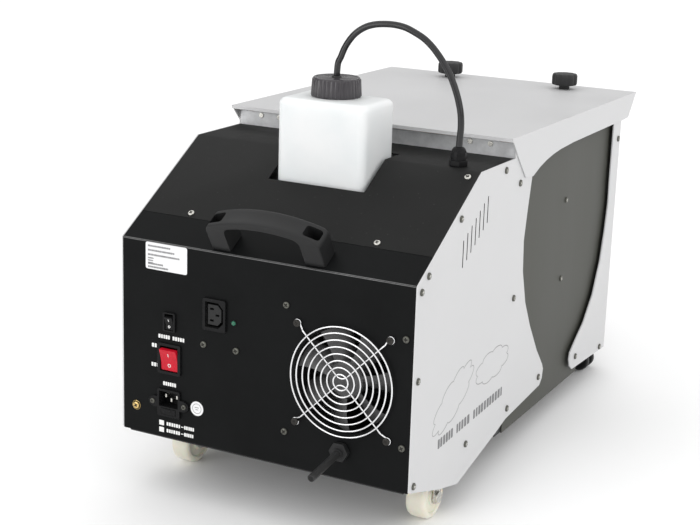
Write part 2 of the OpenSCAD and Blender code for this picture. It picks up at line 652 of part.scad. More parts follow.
// ---------- lid ----------
lid_side = [
    [lid_rear_y - 1.5, lid_z], [261, 277], [283, 275], [302, 282], [322, 287], [343, 290.5],
    [364, 292.6], [407, 294.5], [576, 296], [603, 297], [lid_front_y, lid_z]];
front_lean = [603 - lid_front_y, 297 - lid_z];
module lid() place() color([0.82, 0.82, 0.81]) difference() {
    union() {
        box([-lid_w / 2, lid_w / 2], [lid_rear_y, lid_front_y], [lid_under, lid_z]);
        box([-lid_w / 2, lid_w / 2], [lid_rear_y, lid_rear_y + 1.2], [lid_z - 4, lid_z]);
        both_sides() yz(lid_w / 2 - 1.2, lid_w / 2) polygon(lid_side);
        yz(-lid_w / 2, lid_w / 2) polygon([
            [lid_front_y, lid_z], [lid_front_y - 2, lid_z],
            [lid_front_y - 2 + front_lean[0], 297], [603, 297]]);
    }
    for (x = [-knob_left, knob_right]) zcyl(3 + run, 300, 330, x, knob_y);
}
module lid_knob(x) {
    z0 = lid_z + 5;
    zcyl(3, 313, lid_z + 0.3, x, knob_y);
    zcyl(6.7, lid_z + 0.2, z0 + 0.1, x, knob_y);
    difference() {
        union() {
            zcyl(knob_d / 2 - 0.5, z0, z0 + 15, x, knob_y);
            for (a = [0 : 12 : 348]) translate([x, knob_y, z0 + 1]) rotate(a)
                translate([knob_d / 2 - 1.5, -0.8, 0]) cube([1.5, 1.6, 13]);
        }
    }
}
module lid_knob_left() place() color([0.1, 0.1, 0.1]) lid_knob(-knob_left);
module lid_knob_right() place() color([0.1, 0.1, 0.1]) lid_knob(knob_right);

// ---------- casters ----------
rear_wheel_x = 147.5;
axle_z = floor_z(rear_wheel_y) + rear_wheel_d / 2 / cos(pitch);
module rear_casters() place() color([0.7, 0.7, 0.7]) both_sides()
    translate([rear_wheel_x, rear_wheel_y, 0]) {
        box([-22, 19], [-12, 38], [-5, -3.02]);
        for (x = [-14.5, 12.5]) yz(x, x + 2) {
            polygon([[-8, -4], [30, -4], [7, axle_z - 2], [-7, axle_z - 2]]);
            translate([0, axle_z]) circle(8);
        }
        xcyl(4, -14, 14, 0, axle_z);
        for (s = [-1, 1]) xcyl(6.5, s > 0 ? 14.4 : -17.4, s > 0 ? 17.4 : -14.4, 0, axle_z);
    }
module rear_wheel() translate([rear_wheel_x, rear_wheel_y, axle_z]) rotate([0, 90, 0])
    rotate_extrude() {
        r = rear_wheel_d / 2; w = rear_wheel_w / 2; c = 3;
        difference() {
            union() {
                translate([4 + run, -w]) square([r - c - 4 - run, 2 * w]);
                translate([4 + run, -w + c]) square([r - 4 - run, 2 * w - 2 * c]);
                for (s = [-1, 1]) translate([r - c, s * (w - c)]) circle(c);
            }
            for (s = [-1, 1]) translate([9, s > 0 ? w - 2.5 : -w - 1]) square([9, 3.5]);
        }
    }
module rear_wheel_left() place() color([0.9, 0.89, 0.82]) mirror([1, 0, 0]) rear_wheel();
module rear_wheel_right() place() color([0.9, 0.89, 0.82]) rear_wheel();

front_swivel_x = 138;
front_trail = 10;
front_axle_z = floor_z(front_caster_y) + front_wheel_d / 2 / cos(pitch);
module front_caster_plates() place() color([0.15, 0.15, 0.15]) both_sides()
    translate([front_swivel_x, front_caster_y, 0]) difference() {
        union() {
            box([-18, 18], [-18, 18], [-5, -3.02]);
            zcyl(6.5, -7.6, -4.9, 0, 0);
        }
        zcyl(3 + run, -10, -3, 0, 0);
    }
// trailing towards +x, with the axle along y
module front_fork() {
    zcyl(3, -9, -3.4, 0, 0);
    box([-6, front_trail + 5], [-4, 4], [front_axle_z - 3, -8]);
    ycyl(2, -13.5, 13.5, front_trail, front_axle_z);
}
module front_fork_left() place() color([0.08, 0.08, 0.08])
    translate([-front_swivel_x, front_caster_y, 0]) front_fork();
module front_fork_right() place() color([0.08, 0.08, 0.08])
    translate([front_swivel_x, front_caster_y, 0]) front_fork();
module front_wheels() for (s = [-1, 1])
    translate([front_trail, s * 9.2, front_axle_z]) rotate([90, 0, 0]) rotate_extrude() {
        r = front_wheel_d / 2; w = 4.6; c = 1.5;
        translate([2 + run, -w]) square([r - c - 2 - run, 2 * w]);
        translate([2 + run, -w + c]) square([r - 2 - run, 2 * w - 2 * c]);
        for (t = [-1, 1]) translate([r - c, t * (w - c)]) circle(c);
    }
module front_wheels_left() place() color([0.05, 0.05, 0.05])
    translate([-front_swivel_x, front_caster_y, 0]) front_wheels();
module front_wheels_right() place() color([0.05, 0.05, 0.05])
    translate([front_swivel_x, front_caster_y, 0]) front_wheels();

base_pan();
rear_panel();
top_cover();
side_panel_left();
side_panel_right();
inner_panel_left();
inner_panel_right();
front_panel();
outlet_duct();
bulkhead();
hinge_rivets();
hinge_fixed_leaves();
hinge_moving_leaves();
chamber_liner();
chamber_insulation();
ice_basket();
lid_seal();
tank_cradle();
heater_block();
heater_cover();
fluid_pump();
fog_pipe();
drain_pump();
drain_spout();
control_board();
fan_frame();
fan_rotor();
fan_guard();
fan_screws();
carry_handle();
handle_screws();
power_inlet();
fuse_drawer();
accessory_outlet();
power_switch();
power_rocker();
drain_switch();
drain_rocker();
status_led();
ground_screw();
panel_labels();
hose_gland();
fluid_hose();
tank_cap();
fluid_tank();
pickup_tube();
rear_screws();
side_screws();
cover_screws();
lid();
lid_knob_left();
lid_knob_right();
rear_casters();
rear_wheel_left();
rear_wheel_right();
front_caster_plates();
front_fork_left();
front_fork_right();
front_wheels_left();
front_wheels_right();
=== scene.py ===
"""A low-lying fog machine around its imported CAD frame.

Pieces are drawn in the machine's own square axes, in millimetres: x across, y from the
rear panel to the front, z up from the rear panel's bottom edge. TIP then tips them
nose-down onto the casters, in metres, as the CAD model stands.
"""
import json
import math
import random

import bmesh
import bpy
from mathutils import Matrix, Vector


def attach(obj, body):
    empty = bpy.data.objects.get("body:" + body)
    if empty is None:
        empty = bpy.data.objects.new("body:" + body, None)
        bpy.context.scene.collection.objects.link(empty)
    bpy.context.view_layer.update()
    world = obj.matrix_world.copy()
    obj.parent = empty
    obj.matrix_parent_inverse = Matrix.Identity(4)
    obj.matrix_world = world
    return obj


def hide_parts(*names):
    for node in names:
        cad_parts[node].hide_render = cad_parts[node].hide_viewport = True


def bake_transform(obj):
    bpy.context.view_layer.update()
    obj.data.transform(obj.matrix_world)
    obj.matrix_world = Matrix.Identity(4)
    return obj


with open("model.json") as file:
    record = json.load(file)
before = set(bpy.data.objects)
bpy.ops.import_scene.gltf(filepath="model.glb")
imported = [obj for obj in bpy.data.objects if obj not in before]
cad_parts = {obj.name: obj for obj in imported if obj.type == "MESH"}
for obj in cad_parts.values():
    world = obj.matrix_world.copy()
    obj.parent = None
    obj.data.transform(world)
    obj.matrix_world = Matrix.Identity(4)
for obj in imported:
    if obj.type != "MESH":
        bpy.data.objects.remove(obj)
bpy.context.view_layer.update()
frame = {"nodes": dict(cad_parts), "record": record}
rng = random.Random(7)

# ---------- the machine's own axes ----------
REAR_DROP, FRONT_DROP = 65.0, 34.5
REAR_AXLE_Y, FRONT_AXLE_Y = 95, 570
PITCH = math.atan2(REAR_DROP - FRONT_DROP, FRONT_AXLE_Y - REAR_AXLE_Y)
COS, SIN = math.cos(PITCH), math.sin(PITCH)
REAR_H, DECK_Z, DECK_Y = 214.5, 302.6, 143.5
SLOPE = math.atan2(DECK_Z - REAR_H, DECK_Y)
LID_Z, LID_FRONT = 326.1, 628.4


def tipped(y, z):
    return y * COS + z * SIN, z * COS - y * SIN


SPOUT_L, SPOUT_DROOP = 62.0, math.radians(8)
_spout = (-SPOUT_L * math.cos(SPOUT_DROOP), 30 - SPOUT_L * math.sin(SPOUT_DROOP))
_back = tipped(*_spout)[0] - 4 * math.sin(SPOUT_DROOP - PITCH)
SHIFT_Y = -(_back + tipped(LID_FRONT, LID_Z)[0]) / 2
SHIFT_Z = -tipped(REAR_AXLE_Y, -REAR_DROP)[1]
TIP = (
    Matrix.Translation((0, SHIFT_Y / 1000, SHIFT_Z / 1000))
    @ Matrix.Rotation(-PITCH, 4, "X")
    @ Matrix.Scale(0.001, 4)
)


def P(x, y, z):
    """A point of the machine, tipped onto the floor, in metres"""
    return TIP @ Vector((x, y, z))


def floor_z(y):
    """Height of the floor under the machine's own y"""
    return -REAR_DROP + (y - REAR_AXLE_Y) * math.tan(PITCH)


# ---------- camera and lights ----------
def linked(o):
    """Puts an object into the scene"""
    bpy.context.scene.collection.objects.link(o)
    return o


AZIMUTH, ELEVATION, ROLL = math.radians(27.71), math.radians(14.99), math.radians(1.82)
EYE, SENSOR, FOCAL = (792.46, -1319.21, 626.56), 36, 81.16


def camera():
    az, el = AZIMUTH, ELEVATION
    back = Vector((math.sin(az) * math.cos(el), -math.cos(az) * math.cos(el), math.sin(el)))
    right = Vector((math.cos(az), math.sin(az), 0))
    up = back.cross(right)
    c, s = math.cos(ROLL), math.sin(ROLL)
    cols = (c * right + s * up, c * up - s * right, back)
    turn = Matrix.Rotation(-PITCH, 3, "X") @ Matrix(cols).transposed()
    data = bpy.data.cameras.new("camera")
    data.sensor_width, data.lens = SENSOR, FOCAL
    data.clip_end = 200
    cam = linked(bpy.data.objects.new("camera", data))
    cam.matrix_world = Matrix.Translation(P(*EYE)) @ turn.to_4x4()
    bpy.context.scene.camera = cam


def area_light(name, at, to, size, power):
    data = bpy.data.lights.new(name, "AREA")
    data.shape, data.size, data.size_y = "RECTANGLE", *size
    data.energy = power
    lamp = linked(bpy.data.objects.new(name, data))
    lamp.location = at
    lamp.rotation_euler = (Vector(at) - Vector(to)).to_track_quat("Z", "Y").to_euler()


def sun(name, angle, power, az, el):
    data = bpy.data.lights.new(name, "SUN")
    data.angle, data.energy = math.radians(angle), power
    lamp = linked(bpy.data.objects.new(name, data))
    a, e = math.radians(az), math.radians(el)
    way = Vector((math.sin(a) * math.cos(e), -math.cos(a) * math.cos(e), math.sin(e)))
    lamp.rotation_euler = way.to_track_quat("Z", "Y").to_euler()


# ---------- materials ----------
def nodes_of(name):
    m = bpy.data.materials.new(name)
    m.use_nodes = True
    t = m.node_tree
    return m, t, t.nodes["Principled BSDF"]


def add(t, kind, links=(), **values):
    n = t.nodes.new(kind)
    for k, v in values.items():
        if hasattr(n, k):
            setattr(n, k, v)
        else:
            n.inputs[k].default_value = v
    for source, name in links:
        t.links.new(source, n.inputs[name])
    return n


def ramp_of(t, factor, low, high, start=0.3, end=0.7):
    """A two-colour ramp over a noise"""
    ramp = add(t, "ShaderNodeValToRGB", [(factor, "Fac")])
    for stop, at, colour in zip(ramp.color_ramp.elements, (start, end), (low, high)):
        stop.position, stop.color = at, (*colour, 1)
    return ramp.outputs[0]


def map_range(t, value, low, high, to_low=0.0, to_high=1.0):
    n = add(t, "ShaderNodeMapRange", [(value, "Value")])
    for name, number in (("From Min", low), ("From Max", high), ("To Min", to_low), ("To Max", to_high)):
        n.inputs[name].default_value = number
    return n


def rough_surface(t, bsdf, vector, scale, detail, strength, distance):
    """A fine bump from noise"""
    fine = add(t, "ShaderNodeTexNoise", [(vector, "Vector")], Scale=scale, Detail=detail)
    bump = add(t, "ShaderNodeBump", [(fine.outputs["Fac"], "Height")], Strength=strength, Distance=distance)
    t.links.new(bump.outputs[0], bsdf.inputs["Normal"])


def material(name, colour, rough, metal=0.0, drift=(0.06, 18.0), grain=(), rough_vary=0.06,
             stretch=(1, 1, 1), spots=0.0, **sockets):
    """Colour that drifts over the surface, uneven gloss, a fine surface grain, and
    optional small light specks, all from noise in the piece's own space. drift is the
    share and the noise scale; grain is the bump's strength, noise scale and height."""
    vary, vary_scale = (*drift, 18.0)[:2]
    m, t, bsdf = nodes_of(name)
    co = add(t, "ShaderNodeTexCoord")
    mp = add(t, "ShaderNodeMapping", [(co.outputs["Object"], "Vector")], Scale=stretch)
    big = add(t, "ShaderNodeTexNoise", [(mp.outputs[0], "Vector")], Scale=vary_scale, Detail=5.0,
              Roughness=0.6)
    low = [max(0.0, c * (1 - vary)) for c in colour]
    high = [min(1.0, c * (1 + vary)) for c in colour]
    colour_out = ramp_of(t, big.outputs["Fac"], low, high)
    if spots:
        cells = add(t, "ShaderNodeTexVoronoi", [(mp.outputs[0], "Vector")], Scale=110.0)
        speck = map_range(t, cells.outputs["Distance"], 0.05, 0.11, spots, 0.0)
        mix = add(t, "ShaderNodeMix", data_type="RGBA")
        t.links.new(speck.outputs[0], mix.inputs[0])
        t.links.new(colour_out, mix.inputs[6])
        mix.inputs[7].default_value = (0.3, 0.3, 0.3, 1)
        colour_out = mix.outputs[2]
    t.links.new(colour_out, bsdf.inputs["Base Color"])
    gloss = map_range(t, big.outputs["Fac"], 0.3, 0.7, max(0.02, rough - rough_vary),
                      min(1, rough + rough_vary))
    t.links.new(gloss.outputs[0], bsdf.inputs["Roughness"])
    bsdf.inputs["Metallic"].default_value = metal
    if grain:
        strength, scale, height = (*grain, *(900.0, 0.0001)[len(grain) - 1:])
        rough_surface(t, bsdf, mp.outputs[0], scale, 3.0, strength, height)
    for k, v in sockets.items():
        bsdf.inputs[k.replace("_", " ")].default_value = v
    return m


def tank_material():
    """Milky plastic with a faint blue fluid showing through the lower part"""
    m, t, bsdf = nodes_of("milky_tank")
    co = add(t, "ShaderNodeTexCoord")
    sep = add(t, "ShaderNodeSeparateXYZ", [(co.outputs["Object"], "Vector")])
    level = P(0, 100, 262)[2]
    fade = map_range(t, sep.outputs[2], level - 0.012, level + 0.016)
    fade.interpolation_type = "SMOOTHSTEP"
    noise = add(t, "ShaderNodeTexNoise", [(co.outputs["Object"], "Vector")], Scale=22.0, Detail=3.0)
    milk = ramp_of(t, noise.outputs["Fac"], (0.80, 0.825, 0.83), (0.86, 0.87, 0.87))
    mix = add(t, "ShaderNodeMix", data_type="RGBA")
    t.links.new(fade.outputs[0], mix.inputs[0])
    mix.inputs[6].default_value = (0.78, 0.86, 0.90, 1)
    t.links.new(milk, mix.inputs[7])
    t.links.new(mix.outputs[2], bsdf.inputs["Base Color"])
    for name, value in (
        ("Roughness", 0.36), ("Subsurface Weight", 0.65), ("Subsurface Radius", (1.0, 1.0, 1.0)),
        ("Subsurface Scale", 0.012), ("Transmission Weight", 0.06),
    ):
        bsdf.inputs[name].default_value = value
    rough_surface(t, bsdf, co.outputs["Object"], 160.0, 2.0, 0.25, 0.0002)
    return m


MAT = {}


def make_materials():
    """One finish per material slot of the record, and a few more for what is on them"""
    black = dict(grain=(0.5, 1300, 0.00012), rough_vary=0.05)
    MAT.update(
        black_panel=material(
            "black_powder_coat", (0.0056, 0.0060, 0.0062), 0.5, drift=(0.2,), Specular_IOR_Level=0.07,
            **black),
        charcoal_cover=material(
            "charcoal_powder_coat", (0.0112, 0.0114, 0.0112), 0.55, drift=(0.18,), spots=0.06,
            Specular_IOR_Level=0.13, **black),
        # lighter bevel colour for the black coats: partly rubbed wear, partly a painted edge highlight
        worn_edge=material("worn_black_edge", (0.055, 0.055, 0.055), 0.42, drift=(0.4, 60), grain=(0.3,)),
        # lighter grey for the strip along the rear panel's top bend: a painted highlight
        worn_bend=material("worn_bend", (0.115, 0.115, 0.115), 0.5, drift=(0.35, 30), grain=(0.3,)),
        light_grey_sheet=material(
            "light_grey_enamel", (0.575, 0.575, 0.58), 0.38, drift=(0.025, 6), grain=(0.25, 700, 0.00008)),
        # lighter bevel colour for the light grey sheets: a painted edge highlight
        grey_edge=material("light_grey_fold", (0.68, 0.68, 0.68), 0.4, drift=(0.03, 40), grain=(0.15,)),
        olive_grey_sheet=material(
            "olive_grey_enamel", (0.063, 0.064, 0.055), 0.5, drift=(0.12, 9), grain=(0.35, 900),
            stretch=(1, 1, 0.25), Specular_IOR_Level=0.25),
        black_metal=material("black_steel", (0.02, 0.02, 0.021), 0.5, drift=(0.2,), **black),
        galvanised=material(
            "galvanised_steel", (0.66, 0.665, 0.675), 0.42, 0.25, drift=(0.16, 70), rough_vary=0.12,
            grain=(0.2, 400)),
        zinc_screws=material(
            "zinc_plate", (0.60, 0.59, 0.55), 0.28, 0.95, drift=(0.15, 300), rough_vary=0.1,
            grain=(0.2, 2500)),
        # dark zinc; on the side screws' domes its darkness also stands for a painted dark reflection
        dull_zinc=material(
            "dull_zinc", (0.11, 0.11, 0.095), 0.35, 0.7, drift=(0.2, 300), rough_vary=0.1,
            grain=(0.2, 2500)),
        # dark colour: painted shade in the cross recesses, and the fan screws' own dark heads
        screw_recess=material("screw_recess", (0.03, 0.028, 0.025), 0.6, 0.5, drift=(0.3, 500)),
        brass=material("brass", (0.70, 0.50, 0.20), 0.3, 0.95, drift=(0.12, 300), grain=(0.15,)),
        chrome_wire=material(
            "chrome_wire", (0.82, 0.82, 0.83), 0.16, 1.0, drift=(0.05, 60), rough_vary=0.05, grain=(0.1,)),
        cast_aluminium=material(
            "cast_aluminium", (0.56, 0.56, 0.57), 0.55, 0.9, drift=(0.12, 40), grain=(0.6, 700)),
        steel_shield=material(
            "heater_shield_steel", (0.55, 0.55, 0.55), 0.34, 0.95, drift=(0.1, 30), stretch=(1, 12, 1),
            grain=(0.2,)),
        black_plastic=material(
            "textured_black_plastic", (0.0130, 0.0132, 0.0135), 0.47, drift=(0.15,),
            grain=(0.55, 1500, 0.00012), Specular_IOR_Level=0.28),
        knob_plastic=material(
            "knob_plastic", (0.022, 0.022, 0.0225), 0.45, drift=(0.15,), grain=(0.5, 1500),
            Specular_IOR_Level=0.3),
        slit_dark=material("slit_shadow", (0.03, 0.03, 0.03), 0.8, drift=(0.2,), Specular_IOR_Level=0.1),
        fan_plastic=material("fan_plastic", (0.066, 0.066, 0.067), 0.42, drift=(0.12, 60), grain=(0.3,)),
        gloss_black=material(
            "gloss_black_plastic", (0.009, 0.009, 0.0095), 0.28, drift=(0.12, 90), rough_vary=0.05,
            grain=(0.08, 600), Specular_IOR_Level=0.12),
        cap_black=material(
            "cap_plastic", (0.040, 0.036, 0.041), 0.16, drift=(0.12, 60), rough_vary=0.04,
            grain=(0.12, 500)),
        # its faint red emission is a painted glow: the switch is no lamp
        red_rocker=material(
            "red_rocker_plastic", (0.46, 0.005, 0.02), 0.26, drift=(0.12, 120), rough_vary=0.05,
            grain=(0.06,), Emission_Color=(1, 0.02, 0.03, 1), Emission_Strength=0.08,
            Specular_IOR_Level=0.25),
        green_light=material(
            "green_lens", (0.022, 0.15, 0.09), 0.15, drift=(0.1, 300), rough_vary=0.03,
            Transmission_Weight=0.3, Emission_Color=(0.1, 0.8, 0.4, 1), Emission_Strength=0.04),
        black_hose=material(
            "gloss_black_hose", (0.010, 0.010, 0.011), 0.17, drift=(0.1, 80), rough_vary=0.05,
            grain=(0.08, 400)),
        black_rubber=material(
            "black_rubber", (0.014, 0.014, 0.014), 0.55, drift=(0.2, 80), grain=(0.4, 900)),
        foam_seal=material(
            "orange_foam", (0.52, 0.23, 0.05), 0.85, drift=(0.25, 160), grain=(1.0, 1100, 0.0004)),
        insulation=material(
            "insulation_felt", (0.80, 0.77, 0.66), 0.95, drift=(0.12, 120), grain=(1.0, 900, 0.0006)),
        cream_nylon=material(
            "cream_nylon", (0.80, 0.775, 0.66), 0.4, drift=(0.06, 40), grain=(0.2, 400),
            Subsurface_Weight=0.3, Subsurface_Scale=0.004),
        circuit_board=material(
            "solder_mask_green", (0.02, 0.16, 0.06), 0.35, drift=(0.25, 90), grain=(0.3,)),
        label_film=material("label_film", (0.78, 0.78, 0.785), 0.42, drift=(0.03, 30), grain=(0.1,)),
        white_print=material("white_print", (0.78, 0.78, 0.77), 0.5, drift=(0.08, 400), grain=(0.3, 2000)),
        grey_print=material("grey_print", (0.16, 0.16, 0.165), 0.5, drift=(0.2, 300), grain=(0.2,)),
        side_print=material("side_line_print", (0.26, 0.26, 0.265), 0.45, drift=(0.1, 60), grain=(0.2,)),
        tank_plastic=tank_material(),
    )


# bevel faces take these lighter colours: a painted edge highlight, on the black coats mixed with wear
EDGE = {"black_panel": "worn_edge", "charcoal_cover": "worn_edge", "light_grey_sheet": "grey_edge"}
record = frame["record"]
SLOT = {s["node"]: s["material_slot"] for s in record["subparts"]}
BODY = {n: b for b, ns in record["behaviour"]["bodies"].items() for n in ns}


# ---------- mesh helpers, in the machine's millimetres ----------
def piece(name, bm, mats, body, slot=None, smooth=35, replaces=None, bevel=0.0, segs=2, where=None):
    """A bmesh in millimetres becomes a finished piece that rides on a body."""
    bmesh.ops.recalc_face_normals(bm, faces=bm.faces)
    me = bpy.data.meshes.new(name)
    bm.to_mesh(me)
    bm.free()
    if where is not None:
        me.transform(where)
    me.transform(TIP)
    o = linked(bpy.data.objects.new(name, me))
    for m in [mats] if isinstance(mats, str) else mats:
        me.materials.append(MAT[m])
    me.shade_smooth()
    if smooth < 180:
        me.set_sharp_from_angle(angle=math.radians(smooth))
    if bevel:
        add_bevel(o, bevel, segs)
    if body:
        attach(o, body)
    if replaces:
        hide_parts(replaces)
    return o


def add_bevel(o, width, segs=2, angle=35, edge=None):
    b = o.modifiers.new("edges", "BEVEL")
    b.width, b.segments, b.limit_method = width / 1000, segs, "ANGLE"
    b.angle_limit = math.radians(angle)
    b.harden_normals = b.use_clamp_overlap = True
    b.miter_outer = "MITER_ARC"
    if edge is not None:
        b.material = edge


def softened(node, width, segs):
    """A CAD node's own shape with real, rounded edges"""
    slot, edge = SLOT[node], EDGE.get(SLOT[node])
    bm = bmesh.new()
    bm.from_mesh(frame["nodes"][node].data)
    bmesh.ops.remove_doubles(bm, verts=bm.verts, dist=2e-6)
    bmesh.ops.dissolve_limit(bm, angle_limit=math.radians(0.5), verts=bm.verts, edges=bm.edges)
    for f in bm.faces:
        f.smooth = True
        f.material_index = 0
    bmesh.ops.recalc_face_normals(bm, faces=bm.faces)
    me = bpy.data.meshes.new(node + "_shell")
    bm.to_mesh(me)
    bm.free()
    for a in ("custom_normal", "UVMap"):
        if a in me.attributes:
            me.attributes.remove(me.attributes[a])
    o = linked(bpy.data.objects.new(me.name, me))
    me.materials.append(MAT[slot])
    # the bevel faces take the lighter edge colour: a painted edge highlight
    if edge:
        me.materials.append(MAT[edge])
    me.shade_smooth()
    me.set_sharp_from_angle(angle=math.radians(35))
    add_bevel(o, width, segs, edge=1 if edge else None)
    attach(o, BODY[node])
    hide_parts(node)
    return o


def circle(r, n=40, x=0.0, y=0.0):
    return [(x + r * math.cos(2 * math.pi * k / n), y + r * math.sin(2 * math.pi * k / n)) for k in range(n)]


def skin(bm, rings, closed=True, around=False):
    """Faces between neighbouring rings of vertices. around joins the last ring to the first."""
    n = len(rings[0])
    for a, b in zip(rings, rings[1:] + rings[:1] if around else rings[1:]):
        for k in range(n if closed else n - 1):
            j = (k + 1) % n
            bm.faces.new((a[k], a[j], b[j], b[k]))


def lathe(bm, outline, n=48, where=Matrix.Identity(4), wave=None, cap=True):
    """(r, z) points turned about z. wave(angle, i) scales a ring's radius."""
    rings = []
    for i, (r, z) in enumerate(outline):
        if r < 1e-6:
            rings.append([bm.verts.new(where @ Vector((0, 0, z)))])
            continue
        ring = []
        for k in range(n):
            a = 2 * math.pi * k / n
            q = r * (wave(a, i) if wave else 1)
            ring.append(bm.verts.new(where @ Vector((q * math.cos(a), q * math.sin(a), z))))
        rings.append(ring)
    for a, b in zip(rings, rings[1:]):
        for k in range(n):
            j = (k + 1) % n
            if len(a) == 1 and len(b) == 1:
                break
            if len(a) == 1:
                bm.faces.new((a[0], b[k], b[j]))
            elif len(b) == 1:
                bm.faces.new((a[k], a[j], b[0]))
            else:
                bm.faces.new((a[k], a[j], b[j], b[k]))
    if cap:
        for ring in (rings[0], rings[-1]):
            if len(ring) > 2:
                bm.faces.new(ring)
    return bm


def tube(bm, path, r, n=10, closed=False, caps=True):
    """A round tube along 3-D points, its rings carried along without twist"""
    pts = [Vector(p) for p in path]
    m = len(pts)
    tangents = []
    for i in range(m):
        a = pts[i - 1] if (closed or i) else pts[i]
        b = pts[(i + 1) % m] if (closed or i < m - 1) else pts[i]
        tangents.append((b - a).normalized())
    side = tangents[0].orthogonal().normalized()
    rings = []
    for i, (p, t) in enumerate(zip(pts, tangents)):
        side = (side - t * side.dot(t)).normalized()
        other = t.cross(side)
        rr = r[i] if isinstance(r, (list, tuple)) else r
        rings.append([bm.verts.new(p + x * side + y * other) for x, y in circle(rr, n)])
    skin(bm, rings)
    if closed:
        last, first = rings[-1], rings[0]
        turn = min(range(n), key=lambda s: (first[s].co - last[0].co).length)
        skin(bm, [last, first[turn:] + first[:turn]])
    if caps and not closed:
        bm.faces.new(rings[0])
        bm.faces.new(rings[-1])
    return bm


def smooth_path(points, per=6):
    """A Catmull-Rom curve through the points"""
    pts = [Vector(p) for p in points]
    out = []
    for i in range(len(pts) - 1):
        p0, p1, p2 = pts[max(i - 1, 0)], pts[i], pts[i + 1]
        p3 = pts[min(i + 2, len(pts) - 1)]
        for k in range(per):
            t = k / per
            out.append(0.5 * (2 * p1 + (p2 - p0) * t + (2 * p0 - 5 * p1 + 4 * p2 - p3) * t * t
                              + (3 * p1 - p0 - 3 * p2 + p3) * t ** 3))
    out.append(pts[-1])
    return out


def prism(bm, outline, h0, h1, where=Matrix.Identity(4)):
    """A closed (x, y) outline stretched from z = h0 to h1"""
    low = [bm.verts.new(where @ Vector((x, y, h0))) for x, y in outline]
    high = [bm.verts.new(where @ Vector((x, y, h1))) for x, y in outline]
    skin(bm, [low, high])
    bm.faces.new(list(reversed(low)))
    bm.faces.new(high)
    return bm


def round_rect(w, d, r, n=6, cx=0.0, cy=0.0):
    out = []
    for qx, qy, a0 in ((1, 1, 0), (-1, 1, 90), (-1, -1, 180), (1, -1, 270)):
        for k in range(n + 1):
            a = math.radians(a0 + 90 * k / n)
            out.append((cx + qx * (w / 2 - r) + r * math.cos(a), cy + qy * (d / 2 - r) + r * math.sin(a)))
    return out


# faces the rear panel's outside: local x across, local y up, local z out of the panel
ON_REAR = Matrix(((1, 0, 0, 0), (0, 0, -1, 0), (0, 1, 0, 0), (0, 0, 0, 1)))


def on_rear(x, z, y=0.0):
    return Matrix.Translation((x, y, z)) @ ON_REAR


def on_slope(x, s, out=0.0):
    return (
        Matrix.Translation((x, s * math.cos(SLOPE), REAR_H + s * math.sin(SLOPE)))
        @ Matrix.Rotation(SLOPE, 4, "X")
        @ Matrix.Translation((0, 0, out))
    )


def on_side(m, y, z, x):
    """On a side sheet at m * x, local z points out of it"""
    return Matrix.Translation((m * x, y, z)) @ Matrix.Rotation(m * math.pi / 2, 4, "Y")


def carve(o, *cutters, op="DIFFERENCE"):
    """Cuts (or joins) other meshes and keeps only the result"""
    for c in cutters:
        b = o.modifiers.new("cut", "BOOLEAN")
        b.operation, b.solver, b.object = op, "EXACT", c
    dg = bpy.context.evaluated_depsgraph_get()
    me = bpy.data.meshes.new_from_object(o.evaluated_get(dg))
    o.modifiers.clear()
    o.data = me
    for c in cutters:
        bpy.data.objects.remove(c)
    return o


def loose(name, bm):
    """An unfinished mesh object, for carve()"""
    bmesh.ops.recalc_face_normals(bm, faces=bm.faces)
    me = bpy.data.meshes.new(name)
    bm.to_mesh(me)
    bm.free()
    me.materials.append(MAT["black_plastic"])
    o = linked(bpy.data.objects.new(name, me))
    return o


def block(name, outline, h0, h1):
    return loose(name, prism(bmesh.new(), outline, h0, h1))


def from_object(o):
    bm = bmesh.new()
    bm.from_mesh(o.data)
    bpy.data.objects.remove(o)
    return bm


# ---------- screws ----------
CROSS_REACH, CROSS_HALF, CROSS_DEPTH = 0.62, 0.17, 0.5  # shares of the head's radius and height


def screw_head(bm, where, r, h, turn=0.0):
    """A domed pan head with a cross recess: rings of points whose inner ones sink
    where the cross is. The recess faces take material 1."""
    n = 48
    dome = [(1.0, 0.0), (1.0, 0.45), (0.965, 0.66), (0.90, 0.80), (0.80, 0.90), (0.70, 0.96), (0.62, 0.985)]
    flat = [(q, 1.0) for q in (0.52, 0.42, 0.32, 0.22, 0.14)]
    c, s = math.cos(turn), math.sin(turn)
    rings = []
    for i, (q, up) in enumerate(dome + flat):
        ring = []
        for x, y in circle(q * r, n):
            z = up * h
            u, v = abs(c * x + s * y) / r, abs(c * y - s * x) / r
            if i >= len(dome) and min(u, v) < CROSS_HALF and max(u, v) < CROSS_REACH:
                z = h * (1 - CROSS_DEPTH * (1.15 - max(u, v) / CROSS_REACH))
            ring.append(bm.verts.new(where @ Vector((x, y, z))))
        rings.append(ring)
    middle = bm.verts.new(where @ Vector((0, 0, h * (1 - CROSS_DEPTH * 1.15))))
    back = where.inverted()
    for i, (a, b) in enumerate(zip(rings, rings[1:])):
        for k in range(n):
            j = (k + 1) % n
            corners = (a[k], a[j], b[j], b[k])
            f = bm.faces.new(corners)
            # material 1 on the recess faces: on most heads a dark colour, painted shade in the recess
            if i >= len(dome) - 1 and sum((back @ v.co).z < h * 0.93 for v in corners) >= 2:
                f.material_index = 1
    for k in range(n):
        bm.faces.new((rings[-1][k], rings[-1][(k + 1) % n], middle)).material_index = 1
    bm.faces.new(list(reversed(rings[0])))


